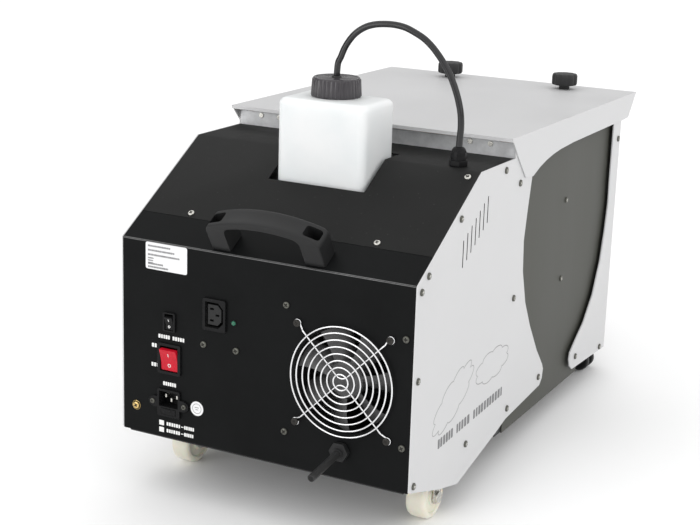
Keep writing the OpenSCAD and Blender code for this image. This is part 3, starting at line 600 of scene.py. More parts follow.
REAR_SCREWS = [(-70, 113), (-30, 113), (29, 172.5), (164, 160), (29.5, 37), (164, 47)]
SIDE_SCREWS = [
    (23.5, 220), (9, 207), (9, 116), (9, 5.5), (95, 263), (207, 294), (249, 273), (249, 143),
    (342, 24), (248, 14), (135, 9), (468, 14.5), (559, 2.4), (573, 273.5)]
INNER_SCREWS = [(414, 223), (413, 127)]
FAN, FAN_HALF = (95.5, 104.0), 52.5
INLET, OUTLET, LED, EARTH = (-112.75, 39.25), (-56, 147.5), (-33, 142.5), (-155.6, 29)
POWER, DRAIN, SPOUT = (-112.5, 89), (-112.4, 130), (96, 30)
HANDLE_X, HANDLE_S, HANDLE_FOOT = 4.0, 16.2, 55.5
SHEET_X, INNER_X = 174.0, 168.0  # outside faces of the outer and the recessed side sheets
AIR = 0.02  # what lies on a sheet clears it by this
PRINT, LEGEND, FOOT = 0.05, 0.06, 0.005  # top of a print, top of the rear legends, foot of both


def screws():
    def heads(name, mats, places, r, h, turn=None, bm=None, **more):
        bm = bm or bmesh.new()
        for where in places:
            screw_head(bm, where, r, h, rng.uniform(0, 1.5) if turn is None else turn)
        if name:
            piece(name, bm, mats, "root", smooth=50, **more)
        return bm

    rear = heads(None, None, [on_rear(x, z, -AIR) for x, z in REAR_SCREWS], 3.6, 1.9)
    heads("rear_screw_heads", ["dull_zinc", "screw_recess"],
          [on_rear(INLET[0] + dx, INLET[1], -2.62) for dx in (-20, 20)], 2.8, 1.5, bm=rear,
          slot="zinc_screws", replaces="rear_screws")
    bm = bmesh.new()
    for m in (-1, 1):
        heads(None, None, [on_side(m, y, z, SHEET_X + AIR) for y, z in SIDE_SCREWS], 3.7, 1.9, bm=bm)
        heads(None, None, [on_side(m, y, z, INNER_X + AIR) for y, z in INNER_SCREWS], 3.4, 1.8, bm=bm)
    # dark domes with bright zinc in the cross recess: a painted dark reflection round a painted highlight in
    # the centre
    piece("side_screw_heads", bm, ["dull_zinc", "zinc_screws"], "root", slot="zinc_screws", smooth=50,
          replaces="side_screws")
    heads("cover_screw_heads", ["zinc_screws", "screw_recess"],
          [on_slope(x, d, AIR) for x, d in ((-113.3, 48), (108, 48), (161.6, 158))], 3.6, 1.9,
          replaces="cover_screws")
    heads("fan_screw_heads", ["screw_recess", "screw_recess"],
          [on_rear(FAN[0] + i * FAN_HALF, FAN[1] + j * FAN_HALF, -2.6) for i in (-1, 1) for j in (-1, 1)],
          3.9, 1.9, slot="zinc_screws", replaces="fan_screws")
    heads("handle_screw_heads", ["zinc_screws", "screw_recess"],
          [on_slope(HANDLE_X + m * HANDLE_FOOT, HANDLE_S, 9) for m in (-1, 1)], 4, 1.9, 0.6,
          replaces="handle_screws")
    washer = lathe(bmesh.new(), [(0, 0), (5.2, 0), (5.2, 0.5), (4.9, 0.6)], 40, on_rear(*EARTH, AIR),
                   cap=False)
    heads("earth_screw_head", ["brass", "screw_recess"], [on_rear(*EARTH, -0.5)], 3.9, 1.7, 0.5, bm=washer,
          replaces="ground_screw")


# ---------- hose and its fittings ----------
HOSE_R = 3.5
CAP_LOW = 363.3
CAP_TOP = CAP_LOW + 20.5
CAP_AT = (0.0, 146.0)
GLAND = (139.0, 160.0)
HOSE = [
    (0, 146, CAP_TOP + 1.3), (1, 146, 398), (4, 146.4, 405), (8, 147, 415),
    (14, 147.5, 424.5), (21, 148, 432), (30, 149, 438), (40, 150, 441.5),
    (51, 151, 443), (63, 152.5, 443), (75, 153.5, 441), (86, 154.5, 436.5),
    (96, 155.6, 431), (105, 156.5, 423.5), (113, 157.3, 414.5), (120, 158, 405),
    (126, 158.7, 395), (131.5, 159.2, 383), (136, 159.6, 370), (139, 159.9, 357),
    (140, 160, 344), (139.5, 160, 333), (GLAND[0], GLAND[1], DECK_Z + 20.2)]


def hose():
    line = smooth_path(HOSE, 5)
    bm = tube(bmesh.new(), line, HOSE_R, 20)
    o = piece("fluid_hose_tube", bm, "black_hose", None, smooth=60, replaces="fluid_hose")
    path = [P(*p) for p in line]
    length = sum((b - a).length for a, b in zip(path, path[1:]))
    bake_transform(o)
    return length


def gland():
    at = Matrix.Translation((GLAND[0], GLAND[1], DECK_Z))
    nut = prism(bmesh.new(), circle(10.5, 6), AIR, 6.3, at)
    piece("gland_hex", nut, "gloss_black", "root", bevel=0.7, segs=3)
    flutes = lambda a, i: 1 - (0.035 if i in (1, 2, 3, 4) else 0) * (0.5 + 0.5 * math.cos(12 * a)) ** 3
    dome = [(7.6, 6.2), (8.5, 6.6), (8.6, 9), (8.5, 13.2), (7.9, 15.6), (6.9, 17.6), (5.6, 19.2),
            (4.4, 19.9), (3.9, 19.6), (3.62, 18.6), (3.62, 6.3)]
    bm = lathe(bmesh.new(), dome, 72, at, flutes, cap=False)
    piece("gland_dome_nut", bm, "gloss_black", "root", smooth=30, replaces="hose_gland")


# ---------- tank ----------
TANK_X, TANK_Y, TANK_W, TANK_D, TANK_LOW, TANK_HIGH = 5.0, 138.0, 105.6, 71.6, 170.0, 363.0
TOP_R, BOTTOM_R = 7.0, 6.0


def tank():
    """A blow-moulded jerrycan: rounded all over, its sides very slightly hollow"""
    turns = [math.pi / 2 * k / 8 for k in range(9)]
    low, high = TANK_LOW + BOTTOM_R, TANK_HIGH - TOP_R
    levels = [(TANK_LOW + BOTTOM_R * (1 - math.cos(a)), BOTTOM_R * (1 - math.sin(a))) for a in turns]
    levels += [(low + (high - low) * k / 24, 0.0) for k in range(1, 24)]
    levels += [(high + TOP_R * math.sin(a), TOP_R * (1 - math.cos(a))) for a in turns]
    bm = bmesh.new()
    rows = []
    for z, inset in levels:
        t = (z - TANK_LOW) / (TANK_HIGH - TANK_LOW)
        dip = 0.9 * math.sin(math.pi * min(max(t, 0), 1)) ** 0.5
        w, d = TANK_W - 2 * inset, TANK_D - 2 * inset
        corners = round_rect(w, d, max(2.0, 9.5 - inset * 0.6), 9)
        ring = []
        for q in range(0, 40, 10):
            (x0, y0), (x1, y1) = corners[q + 9], corners[(q + 10) % 40]
            ring += corners[q:q + 9]
            ring += [(x0 + (x1 - x0) * k / 8, y0 + (y1 - y0) * k / 8) for k in range(8)]
        row = []
        for x, y in ring:
            in_x = dip * max(0, 1 - (2 * y / TANK_D) ** 2) * 0.8 * (abs(x) > w / 2 - 1.0)
            in_y = dip * max(0, 1 - (2 * x / TANK_W) ** 2) * (abs(y) > d / 2 - 1.0)
            row.append(bm.verts.new((TANK_X + x - math.copysign(in_x, x),
                                     TANK_Y + y - math.copysign(in_y, y), z)))
        rows.append(row)
    skin(bm, rows)
    bm.faces.new(rows[0])
    bm.faces.new(rows[-1])
    # threaded neck
    z = TANK_HIGH
    lathe(bm, [(21, z - 3), (22.6, z - 0.2), (22.2, z + 0.6)]
          + [(22.2 + (0.7 if k % 4 in (1, 2) else 0), z + 1 + k * 0.8) for k in range(16)]
          + [(22.2, z + 14.4), (21.6, z + 15), (20.6, z + 14.8), (20.5, z - 4)], 48,
          Matrix.Translation((*CAP_AT, 0)), cap=False)
    piece("milky_fluid_tank", bm, "tank_plastic", "tank", smooth=60, replaces="fluid_tank")


def cap():
    """A tapering cap with a ribbed skirt, a raised top rim and a grommet for the hose"""
    at = Matrix.Translation((*CAP_AT, CAP_LOW))
    ribs = 40
    wave = lambda a, i: 1 + 0.020 * max(-0.3, math.cos(ribs * a)) if i in (2, 3) else 1
    shell = [(23.2, 0.0), (26.3, 0.0), (26.6, 1.3), (25.6, 18.2), (25.4, 19.2), (24.9, 20.0), (24.0, 20.45),
             (22.6, 20.3), (22.0, 19.9), (5.4, 19.9), (5.0, 20.1), (4.6, 20.1), (3.7, 19.9), (3.7, 15.0)]
    bm = lathe(bmesh.new(), shell, ribs * 6, at, wave, cap=False)
    lathe(bm, [(23.2, 0.0), (23.2, 15.5), (3.7, 15.6)], ribs * 6, at, cap=False)
    piece("ribbed_filler_cap", bm, "cap_black", "cap", slot="gloss_black", smooth=28, replaces="tank_cap")
    bm = bmesh.new()
    lathe(bm, [(3.55, 15.0), (5.3, 15.2), (5.3, 20.6), (4.9, 21.4), (3.9, 21.7), (3.55, 21.3)], 32, at,
          cap=False)
    piece("cap_grommet", bm, "black_rubber", "cap", smooth=40)
    bm = bmesh.new()
    tube(bm, [(*CAP_AT, 203), (*CAP_AT, 300), (*CAP_AT, CAP_TOP + 1.25)], 3.45, 18)
    lathe(bm, [(0, 0), (6.6, 0), (7, 0.8), (7, 14), (6.2, 16.5), (3.6, 17.2)], 32,
          Matrix.Translation((*CAP_AT, 173.2)), cap=False)
    piece("pickup_tube_and_strainer", bm, "black_hose", "tank", smooth=40, replaces="pickup_tube")


# ---------- fan ----------
def fan_guard():
    """Eight chrome rings on two bent spoke wires, with loops round the screws"""
    bm = bmesh.new()
    at, wire = on_rear(*FAN), 0.95
    for r in (8.4, 15.5, 22.6, 29.7, 36.8, 43.9, 51.0, 57.5):
        tube(bm, [at @ Vector((x, y, 4.3)) for x, y in circle(r, max(24, int(r * 2.2)))], wire, 10,
             closed=True)
    for s in (-1, 1):
        pts = []
        for q in (-1, 1):
            leg = []
            screw, out = Vector((q, s)) * FAN_HALF, Vector((q, s)).normalized()
            for k in range(15):
                a = -q * math.radians(150 - 300 * k / 14)
                leg.append((screw.x + 3.5 * (out.x * math.cos(a) - out.y * math.sin(a)),
                            screw.y + 3.5 * (out.x * math.sin(a) + out.y * math.cos(a)), 1.3))
            for back, up in ((8.5, 1.7), (13.5, 2.6)):
                leg.append((*(screw - out * back), up))
            leg += [(q * 15.84, s * 15.84, 2.6), (q * 7.2, s * 7.2, 2.6), (q * 3.9, s * 4.6, 2.6)]
            if q > 0:
                leg.reverse()
            pts += leg if q < 0 else [(0, s * 3.6, 2.6)] + leg
        tube(bm, smooth_path([at @ Vector(p) for p in pts], 4), wire, 10)
    piece("chrome_wire_guard", bm, "chrome_wire", "root", smooth=60, replaces="fan_guard")


def fan_blades():
    at = on_rear(*FAN, 13)
    bm = bmesh.new()
    # the hub opens away from the guard; its face is towards it
    hub = [(0, 7.9), (16.5, 7.9), (18.6, 7.4), (19.6, 6.2), (20, 4.4), (20, -8.4), (18.6, -8.4), (18.4, 4.0),
           (2.3, 5.5), (2.06, 5.0)]
    lathe(bm, hub, 56, at, cap=False)
    blades, spans, chords = 7, 9, 8
    for b in range(blades):
        sides = ([], [])
        for i in range(spans):
            u = i / (spans - 1)
            r = 19.4 + (53.6 - 19.4) * u
            twist, chord, sweep = math.radians(48 - 20 * u), 23 + 8 * u, 0.10 * u * u
            c, s = math.cos(twist), math.sin(twist)
            rows = ([], [])
            for j in range(chords):
                v = j / (chords - 1) - 0.5
                across, camber = v * chord, 2.4 * (1 - (2 * v) ** 2)
                up = max(-8.2, min(8.2, across * s + camber * c))
                half = 0.75 * (1 - 0.7 * abs(2 * v) ** 2)
                a = 2 * math.pi * b / blades + sweep + (across * c - camber * s) / r
                for row, off in zip(rows, (half, -half)):
                    row.append(bm.verts.new(at @ Vector((r * math.cos(a), r * math.sin(a), up + off))))
            for side, row in zip(sides, rows):
                side.append(row)
        top, low = sides
        skin(bm, top, closed=False)
        skin(bm, low, closed=False)
        for e in (0, -1):
            skin(bm, [[row[e] for row in top], [row[e] for row in low]], closed=False)
            skin(bm, [top[e], low[e]], closed=False)
    piece("fan_impeller", bm, "fan_plastic", "fan", slot="black_plastic", smooth=40, replaces="fan_rotor")


# ---------- handle ----------
def bow(half, foot, top, crown, corner):
    """An upright-sided outline with a crowned top, from its right foot to its left one"""
    cx = half - corner
    cy = math.sqrt((crown - corner) ** 2 - cx * cx)
    t, base = math.atan2(cy, cx), top - crown
    arc = lambda r, x, z, a: (x + r * math.cos(a), z + r * math.sin(a))
    right = [(half, 0.3), (half, foot)] + [arc(corner, cx, base + cy, t * k / 10) for k in range(10)]
    middle = [arc(crown, 0, base, t + (math.pi - 2 * t) * k / 36) for k in range(37)]
    return right + middle + [(-x, z) for x, z in reversed(right)]


def carry_handle():
    """A moulded strap on two boxy legs, its top edges rounded over and its middle faintly hollowed"""
    a, top, w = 66.5, 44.0, 24.5
    outer = bow(a, 14.0, top, 170, 9)
    inner = bow(a - 22.5, 12.0, top - 7, 160, 9)
    m = len(outer)
    normals = []
    for i in range(m):
        (x0, z0), (x1, z1) = outer[max(i - 1, 0)], outer[min(i + 1, m - 1)]
        d = math.hypot(x1 - x0, z1 - z0)
        normals.append(((z1 - z0) / d, (x0 - x1) / d))
    steps, edge = 36, 2.6
    bm = bmesh.new()
    outside, inside = [], []
    for k in range(steps + 1):
        t = -1 + 2 * k / steps
        v = w / 2 * math.copysign(1 - (1 - abs(t)) ** 1.5, t)
        e = max(0.0, edge - (w / 2 - abs(v))) / edge
        sink = edge * 0.75 * (1 - math.sqrt(max(0.0, 1 - e * e)))
        hollow = 0.5 * max(0.0, math.cos(math.pi * v / (w * 0.62))) if abs(v) < w * 0.31 else 0.0
        ring = []
        for (x, z), (nx, nz) in zip(outer, normals):
            q = sink + hollow * max(0.0, min(1.0, (46 - abs(x)) / 6))
            ring.append(bm.verts.new((x - nx * q, v, z - nz * q)))
        outside.append(ring)
        inside.append([bm.verts.new((x, v, z)) for x, z in inner])
    for rows in (outside, inside, [outside[0], inside[0]], [outside[-1], inside[-1]]):
        skin(bm, rows, closed=False)
    for i in (0, -1):
        skin(bm, [[row[i] for row in outside], [row[i] for row in inside]], closed=False)
    body = loose("strap", bm)
    feet = (-HANDLE_FOOT, HANDLE_FOOT)
    carve(body, *[block("pocket", round_rect(17, 14, 3, 5, x, 0), 9, 60) for x in feet])
    o = piece("strap_handle", from_object(body), "black_plastic", "root", smooth=32,
              where=on_slope(HANDLE_X, HANDLE_S), replaces="carry_handle")
    add_bevel(o, 0.5, 2, 40)


def worn_bend():
    """A lighter strip along the rear panel's top bend: a painted highlight"""
    c, q = math.cos(SLOPE), math.sin(SLOPE)
    on = lambda d, out: (d * c - out * q, REAR_H + d * q + out * c)
    section = [(-0.04, REAR_H - 1.0), (-0.04, REAR_H - 0.45), (0.03, REAR_H - 0.12), (0.22, REAR_H + 0.12),
               on(0.6, 0.03), on(1.15, 0.03), on(1.15, -0.5), (0.5, REAR_H - 1.0)]
    along_x = Matrix(((0, 0, 1, 0), (1, 0, 0, 0), (0, 1, 0, 0), (0, 0, 0, 1)))
    bm = prism(bmesh.new(), section, -171.9, 171.9, along_x)
    piece("worn_bend_line", bm, "worn_bend", "root", slot="black_panel", smooth=60)


# ---------- sockets, switches and lights on the rear panel ----------
def accessory_outlet():
    at = on_rear(*OUTLET)
    d_shape = [(-10.6, 13.6), (-10.6, -13.6), (5.2, -13.6), (11.2, -7.6), (11.2, 7.6), (5.2, 13.6)]
    flange = carve(block("flange", round_rect(28, 34.5, 2.2, 5), AIR, 3.0), block("recess", d_shape, -15, 6))
    piece("outlet_frame", from_object(flange), "gloss_black", "root", where=at, bevel=0.5, segs=3)
    body = block("box", [(x * 1.14, y * 1.12) for x, y in d_shape], -22, 0.0)
    carve(body, block("recess", d_shape, -15, 6))
    inner = [(-8.0, 10.9), (-8.0, -10.9), (3.9, -10.9), (8.3, -6.4), (8.3, 6.4), (3.9, 10.9)]
    places = ((-3.2, 6.2), (-3.2, -6.2), (3.6, 0))
    slots = [block("slot", round_rect(4.6, 2.1, 0.5, 3, x, y), -10, 4) for x, y in places]
    carve(body, carve(block("island", inner, -15.5, 1.4), *slots), op="UNION")
    piece("outlet_socket", from_object(body), "black_plastic", "root", slot="gloss_black",
          where=at, bevel=0.25, replaces="accessory_outlet")


def switch_housing(node, at, w, h, rocker_w, rocker_h, bevel):
    """A snap-in bezel with the box behind it, open where the rocker moves"""
    body = block("bezel", round_rect(w, h, 1.5, 5), AIR, 2.4)
    carve(body, block("box", round_rect(w - 3.2, h - 3.2, 0.3, 2), -20, 0.05), op="UNION")
    carve(body, block("opening", round_rect(rocker_w + 0.8, rocker_h + 2.8, 0.3, 2), -12, 4))
    piece(node + "_housing", from_object(body), SLOT[node], "root", where=on_rear(*at), bevel=bevel, segs=3,
          replaces=node)


def printed_ring(bm, r, w, n, put):
    """A thin ring w wide. put(x, y, up) gives a point of its foot or of its top."""
    rings = [[bm.verts.new(put(x, y, up)) for x, y in circle(q, n)]
             for q, up in ((r, 0), (r, 1), (r - w, 1), (r - w, 0))]
    skin(bm, rings, around=True)


def rocker(name, node, at, w, h, mat, ring_r, dot):
    """A rocker tipped to its off side, its face scooped, with I and O marks"""
    tilt, pivot = math.radians(12), 4
    where = Matrix.Translation((at[0], pivot, at[1])) @ Matrix.Rotation(tilt, 4, "X") @ ON_REAR
    # local z is out of the panel here, measured from the pivot
    face = lambda y: 6.0 + 1.25 * abs(2 * y / h) ** 1.8
    n = 16
    bm = bmesh.new()
    rows = []
    for k in range(n + 1):
        y = (-1 + 2 * k / n) * (h / 2)
        corners = ((-1, 2.0), (-1, face(y)), (1, face(y)), (1, 2.0))
        rows.append([bm.verts.new((s * w / 2, y, z)) for s, z in corners])
    skin(bm, rows)
    bm.faces.new(rows[0])
    bm.faces.new(rows[-1])
    piece(name, bm, mat, node, where=where, bevel=0.6, segs=3, replaces=node, smooth=40)
    bm = bmesh.new()
    mark = lambda x, y, up: (x, y, face(y) + PRINT - 0.3 * (1 - up))
    printed_ring(bm, ring_r, dot, 28, lambda x, y, up: mark(x, y - h * 0.25, up))
    bar = round_rect(dot * 1.1, ring_r * 2.0, dot * 0.3, 2, 0, h * 0.25)
    ends = [[bm.verts.new(mark(x, y, up)) for x, y in bar] for up in (0, 1)]
    skin(bm, ends)
    for end in ends:
        bm.faces.new(end)
    piece(name + "_marks", bm, "white_print", node, where=where, slot="label_film")


def rear_fittings():
    switch_housing("power_switch", POWER, 29, 34, 21.4, 25, 0.6)
    switch_housing("drain_switch", DRAIN, 15.2, 21, 10, 15, 0.5)
    rocker("red_power_rocker", "power_rocker", POWER, 21.2, 24.4, "red_rocker", 2.0, 0.7)
    rocker("black_drain_rocker", "drain_rocker", DRAIN, 9.8, 14.6, "gloss_black", 1.5, 0.75)
    softened("power_inlet", 0.4, 3)
    softened("fuse_drawer", 0.35, 2)
    bm = bmesh.new()
    for x, z in ((-7, 6.3), (7, 6.3), (0, 2.3)):
        prism(bm, round_rect(2.1, 4.1, 0.5, 3), -12, -3.4, on_rear(INLET[0] + x, INLET[1] + z))
    piece("inlet_blades", bm, "zinc_screws", "root", bevel=0.3)
    accessory_outlet()
    bm = bmesh.new()
    lathe(bm, [(3.4, 0.02), (3.4, 0.6), (3.1, 0.9), (2.6, 0.9), (2.5, 0.5)], 32, on_rear(*LED), cap=False)
    piece("status_bezel", bm, "gloss_black", "root")
    bm = bmesh.new()
    lathe(bm, [(2.4, -6), (2.4, 0.9), (2.2, 1.5), (1.7, 1.9), (0.9, 2.1), (0, 2.15)], 32, on_rear(*LED))
    piece("status_lens", bm, "green_light", "root", replaces="status_led", smooth=60)


def drain_stub():
    """The rubber stub droops out of its nut, its end cut square"""
    a = SPOUT_DROOP
    start, way, n = Vector((SPOUT[0], 0, SPOUT[1])), Vector((0, -math.cos(a), -math.sin(a))), 28
    bm = bmesh.new()
    line = [start + way * d for d in (0, 4, 10, 20, 35, 50, 58, 61, 61.9)]
    tube(bm, line, [4.3, 4.1, 4.0, 3.98, 3.98, 3.98, 3.98, 3.95, 3.6], n, caps=False)
    tube(bm, [start + way * d for d in (61.9, 60, 30, 0)], [2.62, 2.6, 2.6, 2.6], n, caps=False)
    bm.verts.ensure_lookup_table()
    rim = len(line) * n
    skin(bm, [bm.verts[rim - n:rim], bm.verts[rim:rim + n]])
    piece("drain_stub_hose", bm, "black_rubber", "root", smooth=50)
    nut = prism(bmesh.new(), circle(10.9, 6), AIR, 6.9, on_rear(*SPOUT))
    piece("drain_nut", nut, "black_plastic", "root", slot="black_rubber", bevel=0.9, segs=3)
    bm = bmesh.new()
    along = Matrix.Translation(start) @ Matrix.Rotation(math.pi / 2 + a, 4, "X")
    lathe(bm, [(5.5, 6.0), (5.55, 8.2), (5.3, 8.8), (4.6, 9.0), (4.02, 8.9)], 40, along, cap=False)
    piece("drain_nut_collar", bm, "black_plastic", "root", slot="black_rubber", replaces="drain_spout")


# ---------- print: bars and boxes that stand for legends, no lettering ----------
def bars(bm, where, x, y, length, height, lift=LEGEND, glyph=0.58, spacing=0.17):
    """A row of small blocks with the rhythm of a word"""
    at = x
    while at < x + length - 0.3 * height:
        w = min(height * glyph * rng.uniform(0.75, 1.15), x + length - at)
        prism(bm, round_rect(w, height, 0.12 * height, 2, at + w / 2, y), FOOT, lift, where)
        at += w + height * spacing * rng.uniform(0.7, 1.2)


def legends():
    panel = on_rear(0, 0)
    bm = bmesh.new()
    for x, z, length, height in ((-127, 112.6, 15.6, 4.2), (-109, 112.6, 15.6, 4.2), (-135.5, 101, 8.0, 4.4),
                                 (-136, 79.5, 10.2, 4.2), (-121, 60.5, 16.5, 4.2)):
        bars(bm, panel, x, z, length, height)
    for z in (15.2, 7.4):
        prism(bm, round_rect(6.2, 5.6, 0.4, 2, -123, z), FOOT, LEGEND, panel)
        bars(bm, panel, -116.5, z, 17.5, 4.0)
        prism(bm, round_rect(3.2, 0.9, 0.2, 2, -96.4, z), FOOT, LEGEND, panel)
        bars(bm, panel, -94, z, 12.5, 4.0)
    piece("panel_legends", bm, "white_print", "root", slot="label_film")
    bm = bmesh.new()
    prism(bm, round_rect(52, 29, 2.2, 5, -117, 199), AIR, 0.26, panel)
    prism(bm, circle(8, 40, -77.8, 40), AIR, 0.26, panel)
    piece("panel_stickers", bm, "label_film", "root", replaces="panel_labels", smooth=30)
    bm = bmesh.new()
    film = on_rear(0, 0, -0.25)
    for z, share in ((209.6, 0.62), (204.9, 0.72), (200.1, 0.86), (190.4, 0.42), (187.0, 0.55)):
        bars(bm, film, -140, z, 46 * share, 2.0, PRINT)
    for k in range(3):
        bars(bm, film, -140, 196.4 - 2.6 * k, 7, 1.5, PRINT)
    seal = on_rear(-77.8, 40, -0.25)
    printed_ring(bm, 5.6, 0.5, 40, lambda x, y, up: seal @ Vector((x, y, up * PRINT)))
    for length, z in ((5.2, 1.2), (3.4, -1.2)):
        prism(bm, round_rect(length, 0.7, 0.2, 2, 0, z), 0.0, PRINT, seal)
    piece("sticker_print", bm, "grey_print", "root", slot="label_film")


def side_print():
    """Two plain puffs of fog and a row of blocks in place of words on each side sheet"""
    for m, name in ((-1, "left"), (1, "right")):
        bm = bmesh.new()
        puff(bm, m, (98, 72), 52, 21, 0.50, 9)
        puff(bm, m, (199, 80), 43, 18, 0.06, 8)
        piece("side_lines_" + name, bm, "side_print", "root", slot="label_film", smooth=180)
        bm = bmesh.new()
        base = Matrix.Translation((m * SHEET_X, 64, 31.5)) @ Matrix.Rotation(math.radians(3.0), 4, "X")
        local = base @ Matrix(((0, 0, m, 0), (m, 0, 0, 0), (0, 1, 0, 0), (0, 0, 0, 1)))
        for x, w in ((0, 38), (46, 35), (89, 78)):
            bars(bm, local, x if m > 0 else -x - w, 0, w, 10.5, PRINT, 0.50, 0.2)
        piece("side_legend_" + name, bm, "grey_print", "root", slot="label_film")


def puff(bm, m, centre, a, b, tilt, lobes):
    """A closed outline of rounded lobes round an ellipse, as a thin printed line"""
    pts, n = [], lobes * 12
    for k in range(n):
        t = 2 * math.pi * k / n
        swell = 0.86 + 0.17 * abs(math.sin(lobes * t / 2)) ** 0.7 + 0.05 * math.sin(2 * t + lobes)
        u, v = a * swell * math.cos(t), b * swell * math.sin(t)
        pts.append(Vector((m * SHEET_X, centre[0] + u * math.cos(tilt) - v * math.sin(tilt),
                           centre[1] + u * math.sin(tilt) + v * math.cos(tilt))))
    rows = []
    for k, p in enumerate(pts):
        d = (pts[(k + 1) % n] - pts[k - 1]).normalized()
        side = Vector((0, -d.z, d.y)) * 0.42
        lift = Vector((m * PRINT, 0, 0))
        rows.append([bm.verts.new(q) for q in (p + side + lift, p - side + lift, p - side, p + side)])
    skin(bm, rows, around=True)


# ---------- lid knobs ----------
def knobs():
    lobes, y = 10, 592
    wave = lambda a, i: 1 - 0.075 * (0.5 - 0.5 * math.cos(lobes * a)) ** 2 if 4 <= i <= 8 else 1
    for side, x in (("left", -70.0), ("right", 91.0)):
        knob = f"lid_knob_{side}"
        bm = bmesh.new()
        lathe(bm, [(6.7, 0.1), (6.9, 0.6), (6.5, 5.0), (13.2, 5.2), (15.6, 5.9), (16.45, 7.6), (16.45, 16.2),
                   (15.9, 18.4), (14.6, 19.6), (9.0, 20.0), (0, 20.0)], lobes * 12,
              Matrix.Translation((x, y, LID_Z)), wave, cap=False)
        piece(f"fluted_knob_{side}", bm, "knob_plastic", knob, slot="black_plastic", smooth=40,
              replaces=knob)
        bm = tube(bmesh.new(), [(x, y, 313), (x, y, 320), (x, y, LID_Z + 3)], [2.7, 3.0, 3.0], 24)
        piece(f"knob_stud_{side}", bm, "zinc_screws", knob, slot="black_plastic", smooth=40)


# ---------- casters ----------
REAR_TRACK, REAR_R = 147.5, 25
FRONT_TRACK, FRONT_R, TRAIL = 138, 13, 10


def rear_wheels():
    w = 11.5
    half = [(4.06, w), (8.6, w), (9.4, w - 0.4), (10.0, w - 2.3), (17.6, w - 2.3), (18.4, w - 0.5),
            (19.4, w),
            (21.6, w - 0.1), (23.4, w - 1.0), (24.6, w - 2.8), (24.95, w - 6), (24.95, 0)]
    outline = half + [(r, -z) for r, z in reversed(half[:-1])]
    for side, m in (("left", -1), ("right", 1)):
        at = on_side(1, REAR_AXLE_Y, floor_z(REAR_AXLE_Y) + REAR_R / COS, m * REAR_TRACK)
        bm = lathe(bmesh.new(), outline, 72, at, cap=False)
        lathe(bm, [(4.06, w), (4.06, -w)], 72, at, cap=False)
        piece(f"nylon_wheel_{side}", bm, "cream_nylon", f"rear_wheel_{side}", smooth=40,
              replaces=f"rear_wheel_{side}")


def front_wheels():
    axle = floor_z(FRONT_AXLE_Y) + FRONT_R / COS
    outline = [(2.06, 4.6), (10.6, 4.6), (12.2, 4.2), (12.95, 3.0), (12.95, -2.6), (12.3, -4.0),
               (10.8, -4.55),
               (9.4, -4.1), (8.0, -2.8), (5.0, -2.2), (4.6, -3.6), (3.6, -4.2), (0, -4.3)]
    for side, m in (("left", -1), ("right", 1)):
        bm = bmesh.new()
        for s in (-1, 1):
            at = (Matrix.Translation((m * FRONT_TRACK + TRAIL, FRONT_AXLE_Y + s * 9.2, axle))
                  @ Matrix.Rotation(s * math.pi / 2, 4, "X"))
            # its z points inwards to the fork
            lathe(bm, outline, 48, at, cap=False)
        piece(f"twin_wheels_{side}", bm, "black_plastic", f"front_wheels_{side}", smooth=40,
              replaces=f"front_wheels_{side}")


def stage():
    m, t, bsdf = nodes_of("studio_floor")
    co = add(t, "ShaderNodeTexCoord")
    noise = add(t, "ShaderNodeTexNoise", [(co.outputs["Object"], "Vector")], Scale=2.0, Detail=3.0)
    colour = ramp_of(t, noise.outputs["Fac"], (0.95, 0.95, 0.95), (0.97, 0.97, 0.97), 0.0, 1.0)
    t.links.new(colour, bsdf.inputs["Base Color"])
    bsdf.inputs["Roughness"].default_value = 0.9
    bsdf.inputs["Specular IOR Level"].default_value = 0.1
    bm = bmesh.new()
    for x, y in ((-30, -30), (30, -30), (30, 30), (-30, 30)):
        bm.verts.new((x, y, -0.0005))
    bm.faces.new(bm.verts)
    me = bpy.data.meshes.new("floor")
    bm.to_mesh(me)
    bm.free()
    me.materials.append(m)
    o = linked(bpy.data.objects.new("floor", me))
    world = bpy.data.worlds.new("studio")
    world.use_nodes = True
    world.node_tree.nodes["Background"].inputs[0].default_value = (1, 1, 1, 1)
    world.node_tree.nodes["Background"].inputs[1].default_value = 0.40
    bpy.context.scene.world = world
    sun("overhead", 150, 2.5, 60, 76)
    area_light("side_softbox", (2.6, -0.2, 1.5), (0, 0, 0.2), (1.8, 1.8), 4)
    area_light("rear_softbox", (-1.4, -3.0, 0.9), (0, -0.1, 0.25), (1.8, 1.4), 19)
    bpy.context.scene.view_settings.view_transform = "Standard"


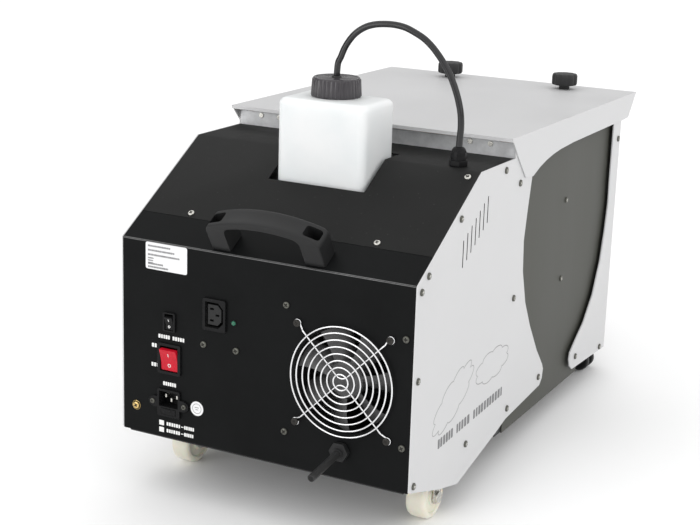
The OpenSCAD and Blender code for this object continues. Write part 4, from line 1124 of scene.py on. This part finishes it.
SLIT_Y, SLIT_STEP, SLIT_Z, SLIT_LENGTH, SLIT_RISE = 104, 9.75, 208, 33, 5.9


def side_sheets():
    """The outer side sheets; the walls of their vent slits are in shadow"""
    for m, node in ((-1, "side_panel_left"), (1, "side_panel_right")):
        o = softened(node, 0.22, 2)
        o.data.materials.append(MAT["slit_dark"])
        back = TIP.inverted()
        for f in o.data.polygons:
            p = back @ f.center
            if abs(f.normal.x) < 0.3 and 98 < p.y < 168 and 206 < p.z < 280:
                k = (p.y - SLIT_Y) / SLIT_STEP
                low = SLIT_Z + SLIT_RISE * round(k)
                if abs(k - round(k)) * SLIT_STEP < 1.6 and low < p.z < low + SLIT_LENGTH:
                    f.material_index = 2


# ---------- assembly ----------
camera()
make_materials()
length = hose()
gland()
tank()
cap()
fan_guard()
fan_blades()
carry_handle()
worn_bend()
rear_fittings()
drain_stub()
screws()
legends()
side_print()
knobs()
rear_wheels()
front_wheels()
side_sheets()
for node, width, segs in (
    ("rear_panel", 0.45, 2), ("top_cover", 0.6, 3), ("inner_panel_left", 0.4, 2),
    ("inner_panel_right", 0.4, 2), ("front_panel", 0.5, 2), ("outlet_duct", 0.35, 2), ("bulkhead", 0.4, 2),
    ("base_pan", 0.5, 2), ("lid", 0.55, 3), ("fan_frame", 0.6, 2), ("rear_casters", 0.5, 2),
    ("front_caster_plates", 0.4, 2), ("front_fork_left", 0.5, 2), ("front_fork_right", 0.5, 2),
    ("hinge_fixed_leaves", 0.25, 2), ("hinge_moving_leaves", 0.25, 2), ("hinge_rivets", 0.3, 2),
    ("chamber_liner", 0.4, 2), ("lid_seal", 0.8, 2), ("heater_block", 0.8, 2), ("heater_cover", 0.6, 2),
    ("tank_cradle", 0.5, 2), ("fluid_pump", 0.8, 2), ("drain_pump", 0.8, 2), ("fog_pipe", 0.4, 2),
    ("control_board", 0.3, 1), ("ice_basket", 0.25, 1),
):
    softened(node, width, segs)

for node, o in frame["nodes"].items():
    if not o.hide_render:
        o.data.materials.clear()
        o.data.materials.append(MAT[SLOT[node]])

stage()
